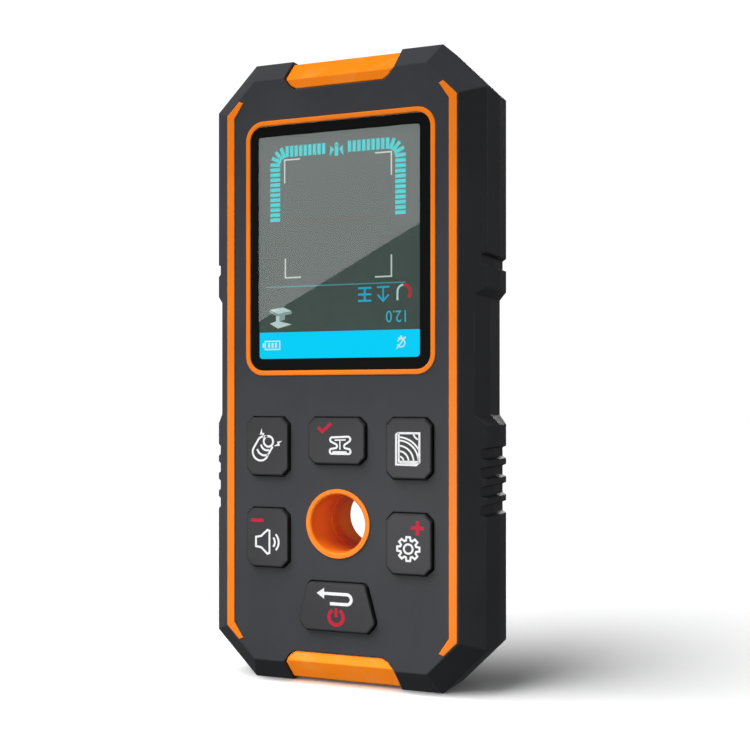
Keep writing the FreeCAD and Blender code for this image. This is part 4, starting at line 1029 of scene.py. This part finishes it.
@dataclass
class Display:
    """The picture behind the window, in millimetres across and up from the face's middle."""

    face: FrontFace
    across: float = -0.3
    half_wide: float = 22.3
    low: float = 2.9
    high: float = 60.1
    corner: float = 0.9
    bar_top: float = 9.7
    back: float = 1.28
    window_front: float = 0.1
    panel_thick: float = 0.04
    print_thick: float = 0.03
    ring_wide: float = 24.8
    ring_low: float = 0.05
    ring_high: float = 62.8
    band_across: float = 17.35
    band_level: float = 56.1
    band_bend: float = 3.4
    band_end: float = 38.7
    band_wide: float = 2.8
    band_pitch: float = 1.3
    band_mark: float = 0.92
    band_gap: float = 3.6

    def _lay(self, stencil: Stencil, finish: ScreenLight, lift: float = 0.05) -> None:
        """Lays one layer of the picture.

        Args:
            stencil: The layer's shapes.
            finish: Its finish.
            lift: How far its back stands over the panel's back.
        """
        piece = stencil.lay(self.face, self.back - lift, self.print_thick, finish.make())
        self._keep(piece)

    def _keep(self, piece: bpy.types.Object) -> None:
        """Makes a piece ride on the casing and logs it.

        Args:
            piece: The piece.
        """
        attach(piece, "casing")
        LOG.info("%s: %d faces", piece.name, len(piece.data.polygons))

    def _rounded(self, wide: float, low: float, high: float, radius: float, steps: int = 6) -> list[Spot]:
        """The corners of a rounded rectangle about the picture's middle.

        Args:
            wide: Its half width.
            low: Its lower edge.
            high: Its upper edge.
            radius: Its corners' radius.
            steps: How many pieces each corner has.

        Returns:
            The points in order.
        """
        points: list[Spot] = []
        centres = [(wide, high), (-wide, high), (-wide, low), (wide, low)]
        for quarter, (x, z) in enumerate(centres):
            centre = (x - math.copysign(radius, x), z - radius if z == high else z + radius)
            points += arc(centre, radius, 90 * quarter, 90 * quarter + 90, steps)
        return points

    def panel(self) -> None:
        """The unlit picture panel."""
        shape = Stencil("display_panel", (self.across, 0.0))
        shape.polygon(self._rounded(self.half_wide + 0.2, self.low - 0.2, self.high + 0.2, self.corner))
        finish = ScreenLight("screen_unlit", (0.033, 0.046, 0.040), (0.030, 0.043, 0.038), 0.05)
        piece = shape.lay(self.face, self.back, self.panel_thick, finish.make())
        self._keep(piece)

    def ring(self) -> None:
        """The black print round the picture."""
        shape = Stencil("window_print")
        outer = self._rounded(self.ring_wide, self.ring_low, self.ring_high, 1.6)
        inner = [
            (x + self.across, z)
            for x, z in self._rounded(self.half_wide, self.low, self.high, self.corner)
        ]
        rims = [[shape.mesh.verts.new((*point, 0.0)) for point in rim] for rim in (outer, inner)]
        edges = []
        for rim in rims:
            edges += [shape.mesh.edges.new(pair) for pair in zip(rim, rim[1:] + rim[:1])]
        bmesh.ops.bridge_loops(shape.mesh, edges=edges)
        ink = PrintInk("window_black_ink", (0.006, 0.0063, 0.0063), 0.7, 0.1)
        piece = shape.lay(self.face, self.window_front + self.print_thick / 2, self.print_thick, ink.make())
        self._keep(piece)

    def status(self) -> None:
        """The bright strip at the bottom with its two symbols."""
        strip = Stencil("status_strip", (self.across, 0.0))
        inset = self.half_wide - self.corner
        rise = self.low + self.corner
        points = arc((-inset, rise), self.corner, 180, 270, 6)
        points += arc((inset, rise), self.corner, 270, 360, 6)
        points += [(self.half_wide, self.bar_top), (-self.half_wide, self.bar_top)]
        strip.polygon(points)
        self._lay(strip, ScreenLight("screen_blue", (0.0, 0.64, 0.98), (0.0, 0.01, 0.01), 0.05))
        marks = Stencil("status_symbols")
        marks.line([(-21.0, 5.35), (-16.8, 5.35), (-16.8, 7.45), (-21.0, 7.45)], 0.32, closed=True)
        marks.bar((-21.5, 6.4), 0.5, 1.1)
        for number in range(3):
            marks.bar((-19.9 + 1.0 * number, 6.4), 0.55, 1.3)
        marks.line(arc((16.8, 6.4), 1.0, 200, 520, 12), 0.3)
        marks.line([(15.6, 5.0), (18.0, 7.9)], 0.3)
        marks.line([(16.0, 7.6), (17.6, 7.6)], 0.3)
        marks.disc((16.8, 8.0), 0.28, 12)
        self._lay(marks, ScreenLight("screen_white", (0.55, 0.85, 0.9)), 0.09)

    def _band_points(self) -> list[tuple[Spot, float]]:
        """Spaces the marks on the left half of the signal band.

        Returns:
            The place and the turn of each mark.
        """
        straight = self.band_level - self.band_bend - self.band_end
        bend = self.band_bend * math.pi / 2
        row = self.band_across - self.band_bend - self.band_gap
        total = straight + bend + row
        marks = round(total / self.band_pitch)
        places: list[tuple[Spot, float]] = []
        for number in range(marks + 1):
            along = total * number / marks
            if along < straight:
                places.append(((-self.band_across, self.band_end + along), 0.0))
            elif along < straight + bend:
                angle = (along - straight) / self.band_bend
                centre = (-self.band_across + self.band_bend, self.band_level - self.band_bend)
                x = centre[0] - self.band_bend * math.cos(angle)
                z = centre[1] + self.band_bend * math.sin(angle)
                places.append(((x, z), -math.degrees(angle)))
            else:
                places.append(((-self.band_gap - total + along, self.band_level), 90.0))
        return places

    def band(self) -> None:
        """The signal band: short marks up both sides and along the top."""
        shape = Stencil("signal_band", (self.across - 0.45, 0.0))
        for (x, z), turn in self._band_points():
            for side in (1, -1):
                shape.bar((x * side, z), self.band_wide, self.band_mark, turn * side)
        shape.bar((0.0, self.band_level - 0.8), 1.0, 2.6)
        for points in (
            [(-1.9, -2.2), (-0.7, -0.4), (-1.7, 0.6)],
            [(1.9, -2.2), (1.7, 0.6), (0.7, -0.4)],
            [(-0.7, 0.7), (0.7, 0.7), (0.0, 1.5)],
        ):
            shape.polygon([(x, self.band_level + z) for x, z in points])
        self._lay(shape, ScreenLight("screen_cyan", (0.0, 0.55, 0.57), (0.0, 0.01, 0.01)))

    def guides(self) -> None:
        """The corner brackets, the divider and the faint middle line."""
        frame = Stencil("corner_brackets")
        for x, z, tall in ((-15.4, 54.0, -6.0), (-15.2, 23.7, 5.0)):
            frame.line([(x + 4.4, z), (x, z), (x, z + tall)], 0.36)
        for x, z, tall in ((14.2, 53.9, -5.8), (14.2, 23.0, 5.4)):
            frame.line([(x - 4.4, z), (x, z), (x, z + tall)], 0.36)
        self._lay(frame, ScreenLight("screen_pale", (0.52, 0.60, 0.56)))
        divider = Stencil("divider_line")
        divider.bar((-1.4, 21.4), 38.6, 0.3)
        self._lay(divider, ScreenLight("screen_dim_cyan", (0.06, 0.26, 0.28)))
        middle = Stencil("middle_line")
        middle.bar((-0.4, 38.0), 24.0, 0.22)
        self._lay(middle, ScreenLight("screen_dim_red", (0.10, 0.045, 0.045)))

    def reading(self) -> None:
        """The reading, a depth symbol and the magnet."""
        shape = Stencil("depth_reading")
        shape.text("12.0", (15.7, 13.0), 2.9, 0.86, 180.0)
        self._lay(shape, ScreenLight("screen_reading", (0.04, 0.42, 0.52)))
        depth = Stencil("depth_symbol")
        for level in (20.3, 18.7, 17.1):
            depth.bar((7.0, level), 3.6, 0.5)
        depth.bar((7.0, 18.7), 0.5, 3.2)
        depth.line([(10.3, 20.4), (13.7, 20.4)], 0.42)
        depth.line([(12.0, 20.2), (12.0, 17.2)], 0.42)
        depth.line([(10.5, 18.5), (12.0, 16.9), (13.5, 18.5)], 0.42)
        self._lay(depth, ScreenLight("screen_symbol", (0.02, 0.36, 0.55)))
        pale = Stencil("magnet_pale")
        pale.line([(15.8, 17.0), (15.8, 18.6)] + arc((17.5, 19.1), 1.7, 160, 95, 5), 0.5)
        self._lay(pale, ScreenLight("screen_pale_mark", (0.42, 0.62, 0.60)))
        red = Stencil("magnet_red")
        red.line(arc((17.5, 19.1), 1.7, 88, 20, 5) + [(19.2, 18.6), (18.9, 17.6)], 0.8)
        self._lay(red, ScreenLight("screen_red", (0.42, 0.025, 0.04)))

    def beam(self) -> None:
        """The small picture of a steel beam."""
        light = Stencil("beam_faces", (0.0, 0.0))
        light.polygon([(-19.7, 15.6), (-15.7, 16.1), (-13.4, 15.1), (-17.4, 14.4)])
        light.polygon([(-19.7, 12.0), (-17.6, 12.7), (-13.4, 11.7), (-17.3, 10.7)])
        light.polygon([(-17.9, 14.3), (-16.9, 14.4), (-16.9, 12.5), (-17.9, 12.6)])
        self._lay(light, ScreenLight("screen_beam_light", (0.48, 0.62, 0.60)))
        shade = Stencil("beam_shades", (0.0, 0.0))
        shade.polygon([(-16.9, 14.4), (-15.3, 14.9), (-15.3, 13.0), (-16.9, 12.5)])
        shade.polygon([(-19.7, 15.5), (-17.4, 14.3), (-17.4, 13.8), (-19.7, 14.9)])
        shade.polygon([(-17.4, 14.3), (-13.4, 15.0), (-13.4, 14.4), (-17.4, 13.8)])
        self._lay(shade, ScreenLight("screen_beam_shade", (0.24, 0.34, 0.33)), 0.08)

    def build(self) -> None:
        """Builds every layer of the picture."""
        self.panel()
        self.ring()
        self.status()
        self.band()
        self.guides()
        self.reading()
        self.beam()


# ---------------------------------------------------------------- key symbols


class Ink(enum.Enum):
    """The inks of the key symbols."""

    WHITE = PrintInk("white_ink", (0.96, 0.96, 0.96))
    RED = PrintInk("red_ink", (0.60, 0.012, 0.045))


@dataclass
class KeySymbols:
    """The printed symbols, in millimetres from each key's middle."""

    face: FrontFace
    line: float = 0.52
    thick: float = 0.06
    proud: float = 0.025

    def __post_init__(self) -> None:
        """Mixes the inks once."""
        self.inks = {ink: ink.value.make() for ink in Ink}

    def _sheet(self, key: str, mark: str) -> Stencil:
        """An empty stencil over a key's middle.

        Args:
            key: The key.
            mark: The mark's name.

        Returns:
            The stencil.
        """
        low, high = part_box(f"{key}_key")
        across = (low.x + high.x) / 2 * MILLIMETRES
        level = ((low.z + high.z) / 2 - self.face.middle) * MILLIMETRES
        return Stencil(f"{key}_{mark}", (across, level))

    def _print(self, key: str, shape: Stencil, ink: Ink) -> None:
        """Prints a stencil on a key.

        Args:
            key: The key.
            shape: The shapes.
            ink: Their ink.
        """
        low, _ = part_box(f"{key}_key")
        top = (low.y - self.face.y) * MILLIMETRES
        piece = shape.lay(self.face, top - self.proud + self.thick, self.thick, self.inks[ink])
        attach(piece, f"{key}_button")
        LOG.info("%s: %d faces", piece.name, len(piece.data.polygons))

    def cable(self) -> None:
        """A cable's cut end with two sparks."""
        shape = self._sheet("cable", "symbol")
        jacket = arc((-0.75, 0.55), 2.05, 62, 145, 8) + arc((-1.75, -1.35), 2.3, 165, 315, 14)
        shape.line(jacket + [(1.7, 0.0)], self.line)
        shape.line(arc((-0.65, -0.15), 2.15, 195, 300, 12), self.line)
        shape.line(arc((0.1, 0.75), 1.75, 190, 290, 10), self.line)
        shape.line(arc((0.5, 1.3), 1.35, 0, 345, 23), self.line, closed=True)
        shape.polygon([(-1.4, 4.7), (-2.0, 3.0), (-1.4, 3.1), (-0.9, 2.2), (-0.7, 3.5), (-1.3, 3.4)])
        shape.polygon([(4.5, 1.5), (3.0, 1.25), (3.2, 0.7), (2.0, 0.1), (3.8, 0.2), (3.6, 0.85)])
        self._print("cable", shape, Ink.WHITE)

    def metal(self) -> None:
        """An outlined beam and a red tick."""
        shape = self._sheet("metal", "symbol")
        ends = [((3.35, 0.45), 0.65, 90, -60), ((2.85, -1.3), 0.55, 120, 240)]
        ends += [((3.35, -2.6), 0.7, 60, -60), ((-0.95, -2.6), 0.7, 240, 120)]
        ends += [((-0.2, -1.3), 0.55, -60, 60), ((-0.95, 0.3), 0.6, 240, 90)]
        outline: list[Spot] = []
        for centre, radius, start, end in ends:
            outline += arc(centre, radius, start, end, 6)
        shape.line(outline, self.line, closed=True)
        shape.line([(-0.3, 0.2), (2.7, 0.3)], self.line * 0.7)
        shape.line([(1.15, 0.0), (1.15, -2.2)], self.line * 0.7)
        shape.line([(-0.9, -2.75), (3.0, -2.75)], self.line * 0.8)
        self._print("metal", shape, Ink.WHITE)
        tick = self._sheet("metal", "tick")
        tick.line([(-4.9, 3.4), (-3.7, 2.3), (-1.3, 4.4)], 0.75)
        self._print("metal", tick, Ink.RED)

    def wood(self) -> None:
        """A block of wood with its grain."""
        shape = self._sheet("wood", "symbol")
        shape.line([(-2.5, 3.8), (2.9, 3.8), (2.9, -3.2), (-2.5, -3.2)], self.line, closed=True)
        shape.line([(-2.6, 3.9), (-3.2, 3.4), (-3.2, -3.9), (2.0, -4.0), (2.9, -3.3)], self.line)
        shape.line([(-2.3, -3.6), (2.0, -3.6)], self.line * 0.7)
        for radius, end in ((1.3, 3), (2.6, 3), (3.9, 3), (5.2, 6), (6.0, 30)):
            shape.line(arc((-2.5, -3.2), radius, 87, end, 10), self.line * 0.85)
        shape.line(arc((2.9, 3.8), 1.5, 184, 266, 6), self.line * 0.85)
        self._print("wood", shape, Ink.WHITE)

    def minus(self) -> None:
        """A loudspeaker and a red minus."""
        shape = self._sheet("minus", "symbol")
        horn = [(-3.1, 0.1), (-1.6, 0.4), (0.2, 2.0), (0.8, 1.8), (0.8, -3.9), (0.2, -4.1)]
        shape.line(horn + [(-1.6, -2.5), (-3.1, -2.3)], self.line, closed=True)
        shape.line(arc((0.6, -1.05), 1.75, 42, -42, 8), self.line)
        shape.line(arc((0.6, -1.05), 2.85, 45, -45, 10), self.line)
        self._print("minus", shape, Ink.WHITE)
        mark = self._sheet("minus", "mark")
        mark.bar((-2.7, 4.4), 3.6, 0.85)
        self._print("minus", mark, Ink.RED)

    def plus(self) -> None:
        """A gear wheel and a red plus."""
        shape = self._sheet("plus", "symbol")
        rim: list[Spot] = []
        for tooth in range(8):
            for turn, radius in ((-16.5, 2.15), (-9.5, 2.95), (9.5, 2.95), (16.5, 2.15)):
                angle = math.radians(tooth * 45 + turn)
                rim.append((radius * math.cos(angle), radius * math.sin(angle) - 1.1))
        shape.line(rim, self.line, closed=True)
        shape.line(arc((0.0, -1.1), 1.15, 0, 345, 23), self.line, closed=True)
        self._print("plus", shape, Ink.WHITE)
        mark = self._sheet("plus", "mark")
        corners: list[Spot] = []
        for quarter in range(4):
            for x, z in ((0.45, 1.75), (-0.45, 1.75), (-0.45, 0.45)):
                turned = Matrix.Rotation(math.radians(90 * quarter), 2) @ Vector((x, z))
                corners.append((turned.x + 2.4, turned.y + 4.1))
        mark.polygon(corners)
        self._print("plus", mark, Ink.RED)

    def back(self) -> None:
        """A return arrow over the power symbol."""
        shape = self._sheet("back", "symbol")
        bend = arc((3.0, 2.15), 1.25, 78, -78, 14)
        shape.line([(-3.2, 3.4), (3.0, 3.4)] + bend + [(3.0, 0.9), (-1.6, 0.9)], 0.8)
        shape.polygon([(-5.3, 3.4), (-3.2, 4.8), (-3.2, 2.0)])
        self._print("back", shape, Ink.WHITE)
        mark = self._sheet("back", "mark")
        mark.line(arc((0.1, -2.4), 1.95, 122, 418, 28), 0.9)
        mark.bar((0.1, -1.3), 0.75, 2.2)
        self._print("back", mark, Ink.RED)

    def build(self) -> None:
        """Prints every symbol."""
        self.cable()
        self.metal()
        self.wood()
        self.minus()
        self.plus()
        self.back()


# ---------------------------------------------------------------- studio


@dataclass(frozen=True)
class Card:
    """A soft rectangular light, kept to some of the pieces where it names them."""

    name: str
    place: Colour
    aim: Colour
    size: Spot
    radiance: float
    only: tuple[str, ...] = ()

    def hang(self) -> bpy.types.Object:
        """Makes the light and turns it to its aim.

        Returns:
            The lamp.
        """
        light = bpy.data.lights.new(self.name, "AREA")
        light.shape = "RECTANGLE"
        light.size, light.size_y = self.size
        light.energy = self.radiance * math.pi * self.size[0] * self.size[1]
        lamp = bpy.data.objects.new(self.name, light)
        away = Vector(self.place) - Vector(self.aim)
        lamp.rotation_euler = away.to_track_quat("Z", "Y").to_euler()
        lamp.location = self.place
        lamp.visible_camera = False
        bpy.context.scene.collection.objects.link(lamp)
        if self.only:
            lit = bpy.data.collections.new(f"{self.name}_pieces")
            for name in self.only:
                lit.objects.link(bpy.data.objects[name])
            lamp.light_linking.receiver_collection = lit
        return lamp


BACK_PIECES = (
    "rear_housing",
    "battery_door",
    "case_screws",
    "glide_pads",
    "battery_left",
    "battery_middle",
    "battery_right",
    "battery_springs",
    "spring_contacts",
    "button_contacts",
    "top_bumper",
    "bottom_bumper",
    "left_stripe",
    "right_stripe",
)


@dataclass
class Studio:
    """The floor, the lights and the camera, in metres."""

    floor_radius: float = 6.0
    floor_colour: Colour = (0.98, 0.98, 0.98)
    sky: Colour = (0.97, 0.985, 1.0)
    sky_strength: float = 0.09
    lens: float = 58.91
    eye: Colour = (0.1280, -0.29385, 0.07277)
    heading: float = 22.72
    lift: float = 0.0334
    surround_radius: float = 6.6
    surround_glow: float = 1.05
    sun_energy: float = 4.2
    sun_angle: float = 50.0
    sun_from: Colour = (-0.42, -0.42, 0.80)
    glare_slope: float = 27.6
    glare_low: Colour = (-0.45, -1.0, 0.2165)
    glare_size: Spot = (0.8, 0.45)
    glare_radiance: float = 3.1
    cards: tuple[Card, ...] = (
        Card("low_card", (-0.15, -0.7, 0.05), (0.0, 0.0, 0.02), (0.5, 0.09), 3.5),
        Card("side_card", (0.9, 0.5, 0.35), (0.0, 0.0, 0.08), (0.18, 0.7), 3.8),
        Card(
            "bore_card",
            (0.25, -0.25, 0.06),
            (0.0, 0.0, 0.045),
            (0.2, 0.2),
            2.5,
            ("front_sleeve", "rear_sleeve"),
        ),
        Card("near_card", (-0.02, -0.15, 0.03), (-0.02, 0.0, 0.03), (0.12, 0.05), 3.4),
        Card("back_card", (-0.35, 1.0, 0.7), (0.0, 0.0, 0.08), (1.0, 0.6), 6.0, BACK_PIECES),
        Card(
            "bounce_card", (0.0, -0.22, 0.004), (0.0, -0.20, 0.06), (0.3, 0.2), 5.0, ("bottom_bumper",)
        ),
    )

    def camera(self) -> None:
        """The camera, level and to the right of the front."""
        data = bpy.data.cameras.new("camera")
        data.lens = self.lens
        data.sensor_width = 36.0
        data.shift_y = self.lift
        data.clip_start = 0.01
        data.clip_end = 50.0
        camera = bpy.data.objects.new("camera", data)
        camera.location = self.eye
        camera.rotation_euler = (math.radians(90), 0.0, math.radians(self.heading))
        bpy.context.scene.collection.objects.link(camera)
        bpy.context.scene.camera = camera

    def floor(self) -> None:
        """A plain pale floor."""
        mesh = bmesh.new()
        bmesh.ops.create_circle(mesh, cap_ends=True, segments=96, radius=self.floor_radius)
        data = bpy.data.meshes.new("floor")
        mesh.to_mesh(data)
        mesh.free()
        tree = Tree("pale_floor")
        mottle = tree.noise(0.05, 3.0)
        colour = tree.mix(mottle, scaled(self.floor_colour, 0.985), self.floor_colour)
        data.materials.append(tree.finish({"Base Color": colour, "Roughness": 0.7 + mottle * 0.1}))
        floor = bpy.data.objects.new("floor", data)
        floor.visible_diffuse = False
        floor.visible_glossy = False
        bpy.context.scene.collection.objects.link(floor)

    def backdrop(self) -> None:
        """A bright white surround that only the camera sees."""
        mesh = bmesh.new()
        bmesh.ops.create_uvsphere(mesh, u_segments=48, v_segments=24, radius=self.surround_radius)
        bmesh.ops.reverse_faces(mesh, faces=mesh.faces)
        data = bpy.data.meshes.new("backdrop")
        mesh.to_mesh(data)
        mesh.free()
        tree = Tree("white_surround")
        glow = {"Emission Color": (1.0, 1.0, 1.0), "Emission Strength": self.surround_glow}
        data.materials.append(tree.finish({"Base Color": (0.0, 0.0, 0.0), **glow}))
        surround = bpy.data.objects.new("backdrop", data)
        surround.visible_diffuse = False
        surround.visible_glossy = False
        surround.visible_transmission = False
        surround.visible_shadow = False
        bpy.context.scene.collection.objects.link(surround)

    def lights(self) -> None:
        """Soft light from above and the front left."""
        world = bpy.data.worlds.new("studio")
        world.use_nodes = True
        behind = world.node_tree.nodes["Background"]
        behind.inputs["Color"].default_value = (*self.sky, 1.0)
        behind.inputs["Strength"].default_value = self.sky_strength
        bpy.context.scene.world = world
        sun = bpy.data.lights.new("overhead", "SUN")
        sun.energy = self.sun_energy
        sun.angle = math.radians(self.sun_angle)
        overhead = bpy.data.objects.new("overhead", sun)
        overhead.rotation_euler = Vector(self.sun_from).to_track_quat("Z", "Y").to_euler()
        overhead.visible_glossy = False
        bpy.context.scene.collection.objects.link(overhead)
        for card in self.cards:
            card.hang()
        self.glare()

    def glare(self) -> None:
        """Hangs the card that the window mirrors, with its edges on a slope."""
        slope = math.radians(self.glare_slope)
        rise = Vector((-math.sin(slope), 0.0, math.cos(slope))) * self.glare_size[1] / 2
        middle = Vector(self.glare_low) + rise
        aim = (middle.x, 0.0, middle.z)
        lit = ("window", "floor")
        card = Card("window_card", tuple(middle), aim, self.glare_size, self.glare_radiance, lit)
        turned = Matrix.Rotation(-slope, 3, "Y") @ Matrix.Rotation(math.radians(90), 3, "X")
        card.hang().rotation_euler = turned.to_euler()

    def build(self) -> None:
        """Builds the whole studio."""
        bpy.context.scene.view_settings.view_transform = "Standard"
        self.camera()
        self.floor()
        self.backdrop()
        self.lights()


# ---------------------------------------------------------------- all together


def main() -> None:
    """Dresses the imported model, adds the picture and the symbols, and sets up the studio."""
    logging.basicConfig(level=logging.INFO, format="%(name)s: %(message)s")
    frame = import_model()
    dress_nodes(frame["nodes"], Casing().finishes())
    dress_nodes(frame["nodes"], Insides().finishes())
    face = FrontFace.find()
    Display(face).build()
    KeySymbols(face).build()
    Studio().build()


if __name__ == "__main__":
    main()
